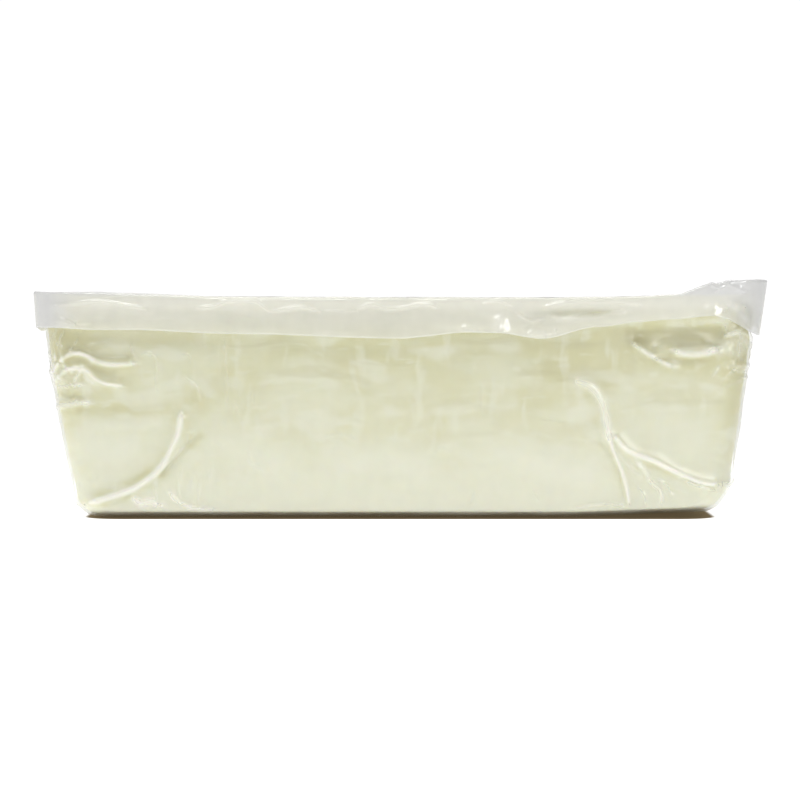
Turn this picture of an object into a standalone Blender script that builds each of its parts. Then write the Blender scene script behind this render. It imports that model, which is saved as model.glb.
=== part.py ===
"""A vacuum-packed loaf of low-moisture mozzarella.

The loaf is cast in a tapered mould, wide end up, and packed in clear film:
a formed film clings to its base and sides, and a lid film lies on its top.
Beyond the loaf the two films are sealed into one loose skirt, which is folded
down over the walls all round and stands up above the top at the front corner
of the right end.

Metres, +Z up. The loaf is long in X, its front faces -Y, and the origin is
the middle of its base.
"""

import math

import bmesh
import bpy
import numpy as np

MM = 0.001

# The loaf, out to the film that clings to it.
HEIGHT = 95 * MM
TOP_REACH_LEFT = 156.2 * MM
TOP_REACH_RIGHT = 154.7 * MM
BASE_REACH_LEFT = 140.9 * MM
BASE_REACH_RIGHT = 143 * MM
TOP_HALF_WIDTH = 51 * MM
BASE_HALF_WIDTH = 43.5 * MM
BELLY = 1.2 * MM  # how far the walls swell at mid height

# Its edges.
CORNER_RADIUS = 11 * MM  # seen from above
TOP_EDGE_HEIGHT = 5 * MM
BASE_EDGE_HEIGHT = 5 * MM
LEFT_BASE_EDGE_HEIGHT = 8 * MM
RIGHT_BASE_EDGE_HEIGHT = 14 * MM
HEEL_LIFT = 2.6 * MM  # the base slopes up towards the right end
HEEL_START = 78.5 * MM

# The lower edge of the front and the back: a crisp turn, then a shallow slope under
# it. How far it has turned under, then its shares outwards and downwards.
BASE_PROFILE = (
    (0.0, 1.0, 0.0),
    (0.35, 1.0, 0.46),
    (0.5, 0.985, 0.62),
    (0.6, 0.93, 0.70),
    (0.7, 0.80, 0.745),
    (1.0, 0.0, 1.0),
)

# The grid that carries the folds: close near the ends, wide in the middle.
CLOSE_FROM = 84 * MM
CLOSE_STEP = 3.0 * MM
WIDE_STEP = 10.5 * MM
LEVEL_STEP = 3.1 * MM
CROSS_STEP = 12.5 * MM

# The lid film and its skirt.
FILM_THICKNESS = 0.5 * MM
FILM_GAP = 0.3 * MM
LID_TOP = HEIGHT + FILM_GAP + FILM_THICKNESS
LID_INSET = 6 * MM  # from the loaf's top outline to where the film leaves the cheese
FOLD_RADIUS = 1.3 * MM

# Pleats of the clinging film, in millimetres on the wall that they lie on:
# start, end, bow to the left of that line, height (below 0 for a groove), half width.
FRONT_PLEATS = (
    ((-138, 6), (-94.5, 46), -8, 1.9, 3.6),
    ((-104, 11), (-87, 34), -2, -1.4, 4.0),
    ((-149, 69), (-129, 68), 3.5, 1.6, 3.0),
    ((-129, 68), (-112, 67.5), -1.5, 1.1, 3.0),
    ((-148, 58), (-121, 57.5), 7, 1.2, 2.8),
    ((-149, 53), (-136, 53), 0, -1.4, 3.0),
    ((-113, 73), (-76, 72), 0, -0.9, 5.0),
    ((99, 33), (139, 14.5), -3, 1.9, 3.2),
    ((89, 38), (99.5, 5), 3, 1.4, 3.0),
    ((85, 55), (89.5, 37), 2, 0.8, 3.0),
    ((101, 75), (124, 65), -3, 1.3, 3.0),
    ((115, 73), (139, 72), -3, 1.6, 3.0),
    ((128, 75), (151, 77), 5, 1.8, 2.8),
    ((103, 80), (136, 80.5), 0, -3.0, 6.5),
    ((137, 59), (150, 68), 2, 1.3, 2.8),
)
BACK_PLEATS = (
    ((137, 7), (101, 41), 7, 1.5, 3.0),
    ((112, 13), (93, 28), 2, -1.1, 3.5),
    ((148, 66), (118, 60), -4, 1.5, 3.0),
    ((146, 78), (122, 74), 3, 1.3, 3.0),
    ((-96, 36), (-137, 12), 3, 1.6, 3.0),
    ((-86, 42), (-97, 5), -3, 1.1, 3.0),
    ((-106, 78), (-146, 70), 5, 1.6, 3.0),
    ((-104, 82), (-134, 79), 0, -2.2, 5.5),
    ((-118, 60), (-147, 55), -4, 1.2, 3.0),
)
LEFT_PLEATS = (
    ((-42, 10), (-12, 40), -5, 1.3, 3.0),
    ((41, 8), (16, 34), 5, 1.3, 3.0),
    ((-46, 72), (-14, 66), 4, 1.4, 3.0),
    ((45, 76), (20, 62), -4, 1.3, 3.0),
)
RIGHT_PLEATS = (
    ((-42, 14), (-10, 38), -4, 1.4, 3.0),
    ((40, 13), (15, 42), 5, 1.3, 3.0),
    ((-47, 77), (-16, 70), 5, 1.6, 3.0),
    ((46, 74), (18, 66), -4, 1.3, 3.0),
)
PLEAT_SAMPLE = 1.5 * MM
PLEAT_FADE = 0.22  # share of its length over which a pleat sinks in at each end
LEAST_RELIEF = 0.02 * MM

# The skirt round the top: turn, then how far its crest and its hem stand out from
# the loaf's top outline and how high they are, in millimetres. Turn 0 to 1 runs
# along the front to the right, 1 to 2 up the right end, 2 to 3 along the back and
# 3 to 4 down the left end.
SKIRT = (
    (0.000, 3.4, 99.1, 2.4, 83.2),
    (0.060, 1.8, 98.9, 1.8, 82.2),
    (0.114, 1.4, 98.3, 2.2, 82.2),
    (0.262, 1.4, 96.5, 2.4, 80.5),
    (0.500, 1.4, 96.3, 2.4, 78.5),
    (0.603, 1.6, 96.2, 3.2, 81.1),
    (0.643, 1.6, 96.2, 3.4, 80.9),
    (0.707, 1.6, 96.2, 2.6, 78.4),
    (0.790, 1.6, 96.5, 3.6, 83.6),
    (0.850, 1.6, 97.0, 3.2, 85.8),
    (0.900, 1.8, 97.8, 2.8, 86.9),
    (0.955, 2.2, 102.7, 2.2, 88.3),
    (0.976, 3.0, 103.9, 1.6, 87.0),
    (1.000, 5.2, 104.3, 1.9, 81.0),
    (1.030, 5.6, 104.2, 1.8, 79.8),
    (1.110, 5.4, 103.2, 2.4, 81.0),
    (1.300, 3.4, 100.6, 3.0, 83.6),
    (1.550, 2.4, 97.8, 2.4, 82.0),
    (1.800, 2.2, 97.4, 2.0, 81.2),
    (2.000, 2.4, 97.2, 1.2, 80.4),
    (2.050, 1.8, 96.8, 2.2, 81.8),
    (2.250, 1.5, 96.0, 3.0, 81.0),
    (2.550, 1.4, 96.0, 2.6, 78.8),
    (2.850, 1.4, 96.8, 2.6, 81.4),
    (3.000, 3.4, 98.2, 2.4, 82.8),
    (3.200, 3.6, 98.2, 3.0, 82.4),
    (3.600, 3.6, 97.6, 3.2, 81.2),
    (4.000, 3.4, 99.1, 2.4, 83.2),
)
SKIRT_STEP = 7 * MM
SKIRT_RINGS = 5

CHEESE_COLOUR = (0.80, 0.78, 0.58, 1.0)
FILM_COLOUR = (0.86, 0.87, 0.84, 0.55)


def smooth(value):
    """0 below 0, 1 above 1 and a smooth step in between."""
    value = np.clip(value, 0.0, 1.0)
    return value * value * (3.0 - 2.0 * value)


def principled(name, colour, roughness, alpha=1.0):
    """A Principled material with the piece's plain finish."""
    material = bpy.data.materials.new(name)
    material.use_nodes = True
    shader = material.node_tree.nodes["Principled BSDF"]
    shader.inputs["Base Color"].default_value = (*colour[:3], 1.0)
    shader.inputs["Roughness"].default_value = roughness
    shader.inputs["Metallic"].default_value = 0.0
    shader.inputs["Alpha"].default_value = alpha
    material.diffuse_color = colour
    return material


def points_of(mesh):
    """The points of a bmesh, one row each."""
    return np.array([vertex.co for vertex in mesh.verts])


def put_points(mesh, points):
    """Moves the points of a bmesh to these rows."""
    for vertex, point in zip(mesh.verts, points):
        vertex.co = point
    mesh.normal_update()


def add_object(name, mesh, material, collection):
    """Turns a bmesh into a smooth-shaded object of the collection."""
    data = bpy.data.meshes.new(name)
    mesh.to_mesh(data)
    mesh.free()
    data.materials.append(material)
    data.shade_smooth()
    data.set_sharp_from_angle(angle=math.radians(50))
    made = bpy.data.objects.new(name, data)
    collection.objects.link(made)
    return made


def steps_between(low, high, step):
    """Evenly spaced values from low to high, both kept, about one step apart."""
    return np.linspace(low, high, max(1, round((high - low) / step)) + 1)


def mirrored(values):
    """These positive values with their opposites, sorted."""
    return np.unique(np.round(np.concatenate([values, -np.array(values)]), 7))


def cut_grid(mesh, axis, places):
    """Cuts a cube of half size 1 across one axis at these places."""
    normal = [0.0, 0.0, 0.0]
    normal[axis] = 1.0
    for place in places:
        if abs(place) < 0.9999:
            at = [0.0, 0.0, 0.0]
            at[axis] = place
            bmesh.ops.bisect_plane(
                mesh,
                geom=mesh.verts[:] + mesh.edges[:] + mesh.faces[:],
                plane_co=at,
                plane_no=normal,
                dist=1e-6,
            )


def dissolve_level_faces(mesh):
    """Joins the level faces that lie in one plane, which need no grid."""
    mesh.normal_update()
    level = [face for face in mesh.faces if abs(face.normal.z) > 0.999999]
    edges = {edge for face in level for edge in face.edges if not edge.is_boundary}
    points = {point for face in level for point in face.verts if not point.is_boundary}
    bmesh.ops.dissolve_limit(
        mesh, angle_limit=math.radians(0.05), verts=list(points), edges=list(edges)
    )


# ---------------------------------------------------------------- the loaf


def reach_at(height, side):
    """How far the loaf reaches along X at this height, to the right (side 1) or left (-1)."""
    share = height / HEIGHT
    right = BASE_REACH_RIGHT + (TOP_REACH_RIGHT - BASE_REACH_RIGHT) * share
    left = BASE_REACH_LEFT + (TOP_REACH_LEFT - BASE_REACH_LEFT) * share
    belly = BELLY * np.sin(math.pi * np.clip(share, 0, 1))
    return np.where(side > 0, right, left) + belly


def half_width_at(height):
    """Half of the loaf's width at this height."""
    share = height / HEIGHT
    width = BASE_HALF_WIDTH + (TOP_HALF_WIDTH - BASE_HALF_WIDTH) * share
    return width + BELLY * np.sin(math.pi * np.clip(share, 0, 1))


def base_edge(x):
    """How near these places along the cube are to an end, and the base edge's height there."""
    end = smooth((np.abs(x) - 0.86) / 0.14)
    full = np.where(x > 0, RIGHT_BASE_EDGE_HEIGHT, LEFT_BASE_EDGE_HEIGHT)
    return end, BASE_EDGE_HEIGHT + (full - BASE_EDGE_HEIGHT) * end


def crisp_base(past, share):
    """Turns the round lower edge into the crisp one, as far as the share says.

    The rows of past are unit vectors from the middle of the rounding.
    """
    level = np.hypot(past[:, 0], past[:, 1])
    turned = np.arctan2(-past[:, 2], level) / (math.pi / 2)
    turns, outwards, downwards = np.array(BASE_PROFILE).T
    out = np.interp(turned, turns, outwards)
    crisp = past * (out / np.maximum(level, 1e-9))[:, None]
    crisp[:, 2] = -np.interp(turned, turns, downwards)
    below = share * (past[:, 2] < -1e-9)
    return past + (crisp - past) * below[:, None]


def rounded_and_tapered(cube):
    """Lays points of a cube of half size 1 on the loaf.

    The cube's edges are first rounded, each as a quarter ellipse, and the
    rounded box then narrows towards its base.
    """
    half = np.array([TOP_REACH_LEFT, TOP_HALF_WIDTH, HEIGHT / 2])
    edge = np.empty_like(cube)
    edge[:, 0] = CORNER_RADIUS
    edge[:, 1] = CORNER_RADIUS
    end, base_height = base_edge(cube[:, 0])
    edge[:, 2] = np.where(cube[:, 2] > 0, TOP_EDGE_HEIGHT, base_height)
    box = cube * half
    core = np.clip(box, edge - half, half - edge)
    past = (box - core) / edge
    past /= np.maximum(np.linalg.norm(past, axis=1, keepdims=True), 1e-9)
    box = core + crisp_base(past, 1 - end) * edge

    height = box[:, 2] + HEIGHT / 2
    x = box[:, 0] / half[0] * reach_at(height, box[:, 0])
    y = box[:, 1] / half[1] * half_width_at(height)
    heel = HEEL_LIFT * np.clip((x - HEEL_START) / (BASE_REACH_RIGHT - HEEL_START), 0, 1)
    height = height + heel * (1 - height / HEIGHT) ** 2
    return np.stack([x, y, height], axis=1)


def bowed_line(start, end, bow):
    """Points along a shallow arc from start to end, in the wall's own millimetres."""
    start, end = np.array(start, float) * MM, np.array(end, float) * MM
    along = end - start
    length = np.linalg.norm(along)
    left = np.array([-along[1], along[0]]) / length
    middle = (start + end) / 2 + 2 * bow * MM * left
    share = steps_between(0, 1, PLEAT_SAMPLE / length)[:, None]
    line = (1 - share) ** 2 * start + 2 * share * (1 - share) * middle
    return line + share**2 * end, share[:, 0]


def on_wall(wall, line):
    """Lays a line given as (along the wall, height) on that wall of the loaf."""
    along, height = line[:, 0], line[:, 1]
    if wall in ("front", "back"):
        across = half_width_at(height) * (-1 if wall == "front" else 1)
        return np.stack([along, across, height], axis=1)
    side = -1 if wall == "left" else 1
    out = reach_at(height, np.full(len(height), side)) * side
    return np.stack([out, along, height], axis=1)


def pleat_relief(points):
    """How far the pleats and grooves move each point of the loaf out of its wall."""
    relief = np.zeros(len(points))
    walls = {
        "front": FRONT_PLEATS,
        "back": BACK_PLEATS,
        "left": LEFT_PLEATS,
        "right": RIGHT_PLEATS,
    }
    for wall, pleats in walls.items():
        for start, end, bow, height, half_width in pleats:
            line, share = bowed_line(start, end, bow)
            gaps = points[:, None, :] - on_wall(wall, line)[None, :, :]
            gaps = np.linalg.norm(gaps, axis=2)
            nearest = gaps.argmin(axis=1)
            gap = gaps[np.arange(len(points)), nearest]
            at = share[nearest]
            fade = smooth(np.minimum(at, 1 - at) / PLEAT_FADE)
            fade = 0.35 + 0.65 * fade
            relief += height * MM * fade * np.exp(-((gap / (half_width * MM)) ** 2))
    return relief


def split_along_pleats(mesh, relief):
    """Splits each grid face between the two opposite corners that the relief moves most alike."""
    mesh.verts.index_update()
    for face in list(mesh.faces):
        if len(face.verts) == 4:
            first, second, third, fourth = face.verts
            one = abs(relief[first.index] - relief[third.index])
            other = abs(relief[second.index] - relief[fourth.index])
            if one + other > LEAST_RELIEF:
                ends = (first, third) if one < other else (second, fourth)
                bmesh.utils.face_split(face, *ends)


def build_loaf(collection, material):
    """The loaf in its clinging film: a cube cut into a grid, laid on the loaf's form."""
    mesh = bmesh.new()
    bmesh.ops.create_cube(mesh, size=2.0)
    straight = TOP_REACH_LEFT - CORNER_RADIUS
    edge_cuts = np.array([0.0, 0.4, 0.75]) * CORNER_RADIUS
    middle = steps_between(0, CLOSE_FROM, WIDE_STEP)
    close = steps_between(CLOSE_FROM, straight, CLOSE_STEP)
    along = np.concatenate([middle, close, straight + edge_cuts])
    cut_grid(mesh, 0, mirrored(along / TOP_REACH_LEFT))
    straight = TOP_HALF_WIDTH - CORNER_RADIUS
    across = np.concatenate([steps_between(0, straight, CROSS_STEP), straight + edge_cuts])
    cut_grid(mesh, 1, mirrored(across / TOP_HALF_WIDTH))
    top_edge = HEIGHT / 2 - TOP_EDGE_HEIGHT
    levels = steps_between(-HEIGHT / 2, top_edge, LEVEL_STEP)
    base_cut = -HEIGHT / 2 + BASE_EDGE_HEIGHT * 0.35
    levels = np.concatenate([levels, [base_cut, top_edge + TOP_EDGE_HEIGHT / 2]])
    cut_grid(mesh, 2, levels / (HEIGHT / 2))

    points = rounded_and_tapered(points_of(mesh))
    put_points(mesh, points)
    normals = np.array([vertex.normal for vertex in mesh.verts])
    upright = 1 - smooth((np.abs(normals[:, 2]) - 0.35) / 0.4)
    relief = pleat_relief(points) * upright
    put_points(mesh, points + normals * relief[:, None])
    split_along_pleats(mesh, relief)
    dissolve_level_faces(mesh)
    return add_object("mozzarella_block", mesh, material, collection)


# ---------------------------------------------------------------- the lid film


def film_lines(half):
    """Where the skirt has a line along one side of the rim, in shares of its half length."""
    radius = CORNER_RADIUS - LID_INSET
    corner = half - radius + np.array([0.42, 0.78]) * radius
    lines = np.concatenate([steps_between(0, half - radius, SKIRT_STEP), corner])
    return mirrored(lines / half)


def rim_spots():
    """Points round a square of half size 1, one for each line, and the turn of each."""
    along_x = film_lines(TOP_REACH_LEFT - LID_INSET)
    along_y = film_lines(TOP_HALF_WIDTH - LID_INSET)
    corners = np.array([(-1, -1), (1, -1), (1, 1), (-1, 1), (-1, -1)], float)
    spots, turns = [], []
    for side in range(4):
        lines = along_x if side % 2 == 0 else along_y
        share = (np.concatenate([[-1.0], lines]) + 1) / 2
        way = corners[side + 1] - corners[side]
        spots.append(corners[side] + share[:, None] * way)
        turns.append(side + share)
    return np.concatenate(spots), np.concatenate(turns)


def top_outline(spots):
    """Lays points of the square on the loaf's top outline.

    Returns their places and, for each, the way out of the outline.
    """
    half = np.array([(TOP_REACH_LEFT + TOP_REACH_RIGHT) / 2, TOP_HALF_WIDTH]) - LID_INSET
    middle = np.array([(TOP_REACH_RIGHT - TOP_REACH_LEFT) / 2, 0.0])
    radius = CORNER_RADIUS - LID_INSET
    box = spots * half
    core = np.clip(box, radius - half, half - radius)
    way_out = (box - core) / np.linalg.norm(box - core, axis=1, keepdims=True)
    return middle + core + way_out * CORNER_RADIUS, way_out


def skirt_at(turn):
    """The skirt's crest and hem at this turn: (out, height) of each, in metres."""
    table = np.array(SKIRT)
    at = np.searchsorted(table[:, 0], turn, side="right") - 1
    at = int(np.clip(at, 0, len(table) - 2))
    share = smooth((turn - table[at, 0]) / (table[at + 1, 0] - table[at, 0]))
    row = (table[at] + (table[at + 1] - table[at]) * share)[1:] * MM
    return row[:2], row[2:]


def skirt_section(turn):
    """(out, height) of each ring of the skirt at this turn, from the lid to the hem."""
    crest, hem = skirt_at(turn)
    drop = hem - crest
    drop_way = drop / np.linalg.norm(drop)
    lid = np.array([-LID_INSET, LID_TOP])
    rise_way = (crest - lid) / np.linalg.norm(crest - lid)
    before = crest - rise_way * FOLD_RADIUS
    after = crest + drop_way * FOLD_RADIUS
    rounded = (before + 2 * crest + after) / 4
    middle = after + (hem - after) * 0.5
    return before, rounded, after, middle, hem


def build_lid_film(collection, material):
    """The lid film with its skirt: a flat sheet, its rim drawn out, up and down."""
    spots, turns = rim_spots()
    outline, way_out = top_outline(spots)
    mesh = bmesh.new()
    bmesh.ops.create_circle(mesh, cap_ends=True, radius=1.0, segments=len(turns))
    line = mesh.verts.layers.int.new("line")
    mesh.verts.ensure_lookup_table()
    for number, vertex in enumerate(mesh.verts):
        vertex[line] = number
        vertex.co = (*(outline[number] - way_out[number] * LID_INSET), LID_TOP)
    for ring in range(SKIRT_RINGS):
        rim = [edge for edge in mesh.edges if edge.is_boundary]
        drawn = bmesh.ops.extrude_edge_only(mesh, edges=rim)["geom"]
        for vertex in drawn:
            if isinstance(vertex, bmesh.types.BMVert):
                number = vertex[line]
                out, height = skirt_section(turns[number])[ring]
                vertex.co = (*(outline[number] + way_out[number] * out), height)
    bmesh.ops.recalc_face_normals(mesh, faces=mesh.faces)
    film = add_object("lid_film", mesh, material, collection)
    thicken = film.modifiers.new("film thickness", "SOLIDIFY")
    thicken.thickness = FILM_THICKNESS
    thicken.offset = -1.0
    thicken.use_even_offset = True
    return film


def main():
    """Clears the scene and builds the pack in a collection of its own."""
    for old in list(bpy.data.objects):
        bpy.data.objects.remove(old)
    pack = bpy.data.collections.new("mozzarella_pack")
    bpy.context.scene.collection.children.link(pack)
    cheese = principled("mozzarella", CHEESE_COLOUR, roughness=0.38)
    film = principled("clear film", FILM_COLOUR, roughness=0.18, alpha=FILM_COLOUR[3])
    build_loaf(pack, cheese)
    build_lid_film(pack, film)


main()
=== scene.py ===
"""The looks of a vacuum-packed loaf of low-moisture mozzarella.

A cream loaf stands in a tight clear film whose slack gathers in pleats at the
corners. A lid film lies on its top, and beyond the loaf the two films are
sealed into a milky skirt that is folded down over the walls.

Sizes are in metres unless a name or a comment says millimetres. The loaf is
long in X, its front faces -Y and it stands on the plane Z = 0.
"""

from __future__ import annotations

import logging
import math
from dataclasses import dataclass, field
from enum import Enum
from typing import Callable, Sequence

import bmesh
import bpy
import numpy as np
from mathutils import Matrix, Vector, kdtree

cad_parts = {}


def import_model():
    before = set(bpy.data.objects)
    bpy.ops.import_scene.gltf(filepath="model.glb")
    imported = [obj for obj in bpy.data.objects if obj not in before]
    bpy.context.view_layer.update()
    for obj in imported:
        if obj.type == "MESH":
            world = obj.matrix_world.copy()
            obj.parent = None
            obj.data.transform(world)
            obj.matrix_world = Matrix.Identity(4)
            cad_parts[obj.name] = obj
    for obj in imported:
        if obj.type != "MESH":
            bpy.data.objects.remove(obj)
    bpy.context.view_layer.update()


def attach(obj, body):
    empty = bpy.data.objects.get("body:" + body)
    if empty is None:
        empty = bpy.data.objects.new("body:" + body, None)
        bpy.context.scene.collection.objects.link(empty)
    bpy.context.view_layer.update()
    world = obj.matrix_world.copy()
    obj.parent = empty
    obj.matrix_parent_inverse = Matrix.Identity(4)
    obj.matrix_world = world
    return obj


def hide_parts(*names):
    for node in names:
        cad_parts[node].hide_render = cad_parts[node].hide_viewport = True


LOG = logging.getLogger("mozzarella")
MM = 0.001
Points = np.ndarray
Pairs = tuple[tuple[float, float], ...]
Colour = tuple[float, float, float, float]


class Wall(Enum):
    """The walls of the loaf, and the skirt that hangs over its front."""

    FRONT = "front"
    BACK = "back"
    LEFT = "left"
    RIGHT = "right"
    SKIRT = "skirt"


def smooth(value: Points | float) -> Points:
    """Gives 0 below 0, 1 above 1 and a smooth step in between."""
    value = np.clip(value, 0.0, 1.0)
    return value * value * (3.0 - 2.0 * value)


def path_through(points: Pairs, spacing: float) -> Points:
    """Draws a smooth line through points.

    Args:
        points: The points, in millimetres.
        spacing: The distance between samples, in millimetres.

    Returns:
        The samples, in millimetres, one row each.
    """
    knots = np.array(points, float)
    if len(knots) == 2:
        count = max(2, int(np.linalg.norm(knots[1] - knots[0]) / spacing) + 1)
        return knots[0] + np.linspace(0, 1, count)[:, None] * (knots[1] - knots[0])
    padded = np.vstack([2 * knots[0] - knots[1], knots, 2 * knots[-1] - knots[-2]])
    pieces = []
    for before, start, end, after in zip(padded, padded[1:], padded[2:], padded[3:]):
        count = max(2, int(np.linalg.norm(end - start) / spacing) + 1)
        t = np.linspace(0, 1, count, endpoint=False)[:, None]
        pieces.append(
            0.5
            * (
                2 * start
                + (end - before) * t
                + (2 * before - 5 * start + 4 * end - after) * t**2
                + (3 * start - before - 3 * end + after) * t**3
            )
        )
    return np.vstack([*pieces, knots[-1:]])


@dataclass(frozen=True)
class Fold:
    """A fold of film on a wall: its line in millimetres along the wall and up it."""

    points: Pairs
    lift: float  # millimetres out of the wall, below 0 for a groove
    half_width: float  # millimetres
    # On the cheese the haze sets painted light on a fold's crest, and for the shade folds the strength of
    # the painted shade.
    haze: float = 0.0  # how much whiter the film is on it
    wall: Wall = Wall.FRONT

    def moved(self, wall: Wall, place: Callable[[Points], Points], scale: float) -> Fold:
        """Copies the fold to another wall.

        Args:
            wall: The wall that it goes to.
            place: Gives the new points from the old ones.
            scale: By how much its height and its haze change.

        Returns:
            The new fold.
        """
        points = tuple(map(tuple, place(np.array(self.points, float))))
        return Fold(points, self.lift * scale, self.half_width, self.haze * scale, wall)


# ---------------------------------------------------------------- the folds of the front

# Where the film has gathered at each corner of the front, and on its open face.
LOWER_LEFT = (
    Fold(
        (
            (-138, 5.6), (-129, 8.5), (-118, 12.3), (-110.6, 16.6),
            (-104, 22.6), (-98.7, 32), (-96, 39), (-95.2, 46.5),
        ),
        1.9,
        1.35,
        1.0,
    ),
    Fold(((-107, 18), (-100.5, 24.5), (-94.5, 30.5), (-89, 36)), 0.7, 1.0, 0.25),
    Fold(((-117, 11), (-113.4, 7), (-108, 7.4), (-103, 4.4)), 0.35, 2.0, 0.4),
    Fold(((-106, 18), (-106.6, 11), (-104.4, 4)), 0.45, 0.9, 0.3),
    Fold(((-101, 12), (-97, 7.4), (-90, 4.4), (-80, 3.6)), 0.5, 1.3, 0.4),
    Fold(((-95, 21), (-96.2, 12), (-95.6, 4)), 0.3, 0.9, 0.2),
    Fold(((-90.4, 20), (-91, 11)), 0.2, 1.0, 0.1),
    Fold(((-86.6, 17), (-88, 10), (-87.6, 5)), 0.25, 0.9, 0.15),
    Fold(((-81.4, 25), (-82.8, 15)), 0.2, 1.0, 0.1),
)
UPPER_LEFT = (
    Fold(
        (
            (-152, 62), (-149.6, 66.6), (-145, 70.6), (-140, 72),
            (-135.6, 70.9), (-131, 68.3), (-124.7, 67.1), (-114, 67.8),
        ),
        1.9,
        1.25,
        0.8,
    ),
    Fold(
        (
            (-152, 59), (-149, 61.6), (-145.4, 64.6), (-140.9, 65.6),
            (-136.4, 65), (-132.8, 61.4), (-128, 58.9), (-120, 57.6),
        ),
        1.5,
        1.2,
        0.7,
    ),
    Fold(((-142, 58.4), (-139.8, 62.5), (-137.8, 64.8)), 0.6, 1.1, 0.5),
    Fold(((-137.6, 64.6), (-135.4, 60.6), (-131, 58)), 0.5, 1.1, 0.4),
    Fold(((-151, 58.6), (-147, 57.6), (-142, 58.2), (-137, 58.6)), 0.9, 1.1, 0.6),
    Fold(((-151, 47.4), (-147.4, 49.2), (-141, 50.2), (-133, 50.4)), 0.9, 1.5, 0.5),
    Fold(((-149, 82), (-151.4, 76), (-150.8, 70), (-152, 64)), 0.9, 1.0, 0.6),
    Fold(((-145.6, 82), (-147.6, 77.5), (-146, 73.4)), 0.7, 0.7, 0.5),
    Fold(((-138.6, 80), (-141.4, 75.5), (-144.6, 71.6)), 0.6, 0.7, 0.45),
    Fold(((-134, 78), (-137, 75), (-130.6, 76.8), (-124, 79)), 0.4, 0.8, 0.25),
    Fold(((-116.4, 80), (-116, 72), (-113, 69.6)), 0.35, 0.7, 0.25),
    Fold(((-111.8, 71.6), (-108.4, 72.2), (-105.4, 70)), 0.4, 0.6, 0.4),
)
LOWER_RIGHT = (
    Fold(
        (
            (92.6, 37), (97, 31.6), (102, 28.4), (110.6, 25.2),
            (117.1, 21.8), (125.8, 17.6), (132.3, 15.4), (144, 14.6),
        ),
        1.9,
        1.35,
        0.85,
    ),
    Fold(((124, 16.6), (131, 13.8), (138.6, 12)), 0.96, 1.0, 0.6),
    Fold(((90.6, 38), (92, 32), (94.4, 25.8), (96.6, 20.4), (98.6, 13.9), (100.2, 5.6)), 1.4, 1.15, 0.7),
    Fold(((97.4, 25), (100.9, 21.5), (104.2, 19)), 0.6, 0.7, 0.4),
    Fold(((102.6, 25.6), (107, 20.4), (109.4, 16), (113.6, 11.7), (114, 5.6)), 0.9, 1.0, 0.6),
    Fold(((110.6, 17.4), (116, 15), (118.4, 9.4)), 0.6, 0.7, 0.4),
    Fold(((103.4, 14), (106.6, 10), (106.8, 5)), 0.5, 0.7, 0.35),
    Fold(((74.6, 60.6), (83, 57.4), (87.6, 50.8), (89.6, 43.2), (90.8, 33)), 0.6, 1.9, 0.4),
    Fold(((76, 4.4), (87.8, 6.3), (98.7, 5.2)), 0.6, 0.8, 0.4),
    Fold(((56.4, 12.8), (60.9, 7)), 0.35, 0.7, 0.25),
    Fold(((32.6, 12), (30.2, 5)), 0.35, 0.6, 0.25),
)
UPPER_RIGHT = (
    Fold(((100, 77), (105.4, 73.4), (112, 69.2), (119, 66)), 1.3, 1.5, 0.6),
    Fold(((118, 73.6), (123, 72), (129.8, 71.8), (138.6, 74)), 1.8, 1.9, 0.8),
    Fold(((136.6, 76.6), (141, 79.6), (147, 81), (151.4, 80), (155.4, 76)), 1.3, 1.0, 0.75),
    Fold(((134, 85.4), (140, 84), (141.8, 81.4)), 0.7, 1.0, 0.5),
    Fold(((147.4, 79.4), (147.2, 70.6)), 0.7, 0.9, 0.45),
    Fold(((151, 76), (152, 71), (150, 67.6)), 0.8, 0.9, 0.5),
    Fold(((141, 61.6), (146, 65.4), (150, 67), (154, 65.6)), 0.96, 1.0, 0.55),
    Fold(((147, 60.6), (150, 61.6), (153.6, 61)), 0.6, 0.9, 0.4),
    Fold(((138.6, 66.6), (135.4, 61.6)), 0.4, 1.1, 0.3),
)
OPEN_FACE = (
    Fold(((-105.8, 71), (-105.6, 55.5)), 0.35, 0.7, 0.3),
    Fold(((-92.6, 62), (-88, 57.2), (-86.8, 51.6)), 0.35, 0.8, 0.3),
    Fold(((-76.2, 78.4), (-75.2, 62), (-75.6, 48.6)), 0.35, 0.6, 0.35),
    Fold(((-71.8, 52), (-70.4, 44)), 0.3, 0.8, 0.25),
    Fold(((-63.5, 56), (-63.4, 49.4)), 0.3, 0.6, 0.25),
    Fold(((-94.6, 71.6), (-91.4, 71.2), (-91, 67.6)), 0.35, 0.6, 0.35),
    Fold(((-66.8, 30.4), (-64, 23.6), (-59.7, 21.4)), 0.35, 0.9, 0.25),
    Fold(((35.2, 57.4), (35.4, 47.2)), 0.35, 0.8, 0.3),
    Fold(((60.7, 43.4), (71.6, 42.2)), 0.25, 0.7, 0.2),
    Fold(((-34, 35), (-26, 37), (-19, 34)), 0.3, 1.2, 0.15),
    Fold(((14, 26), (17, 31), (22, 29)), 0.3, 1.2, 0.15),
)
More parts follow.
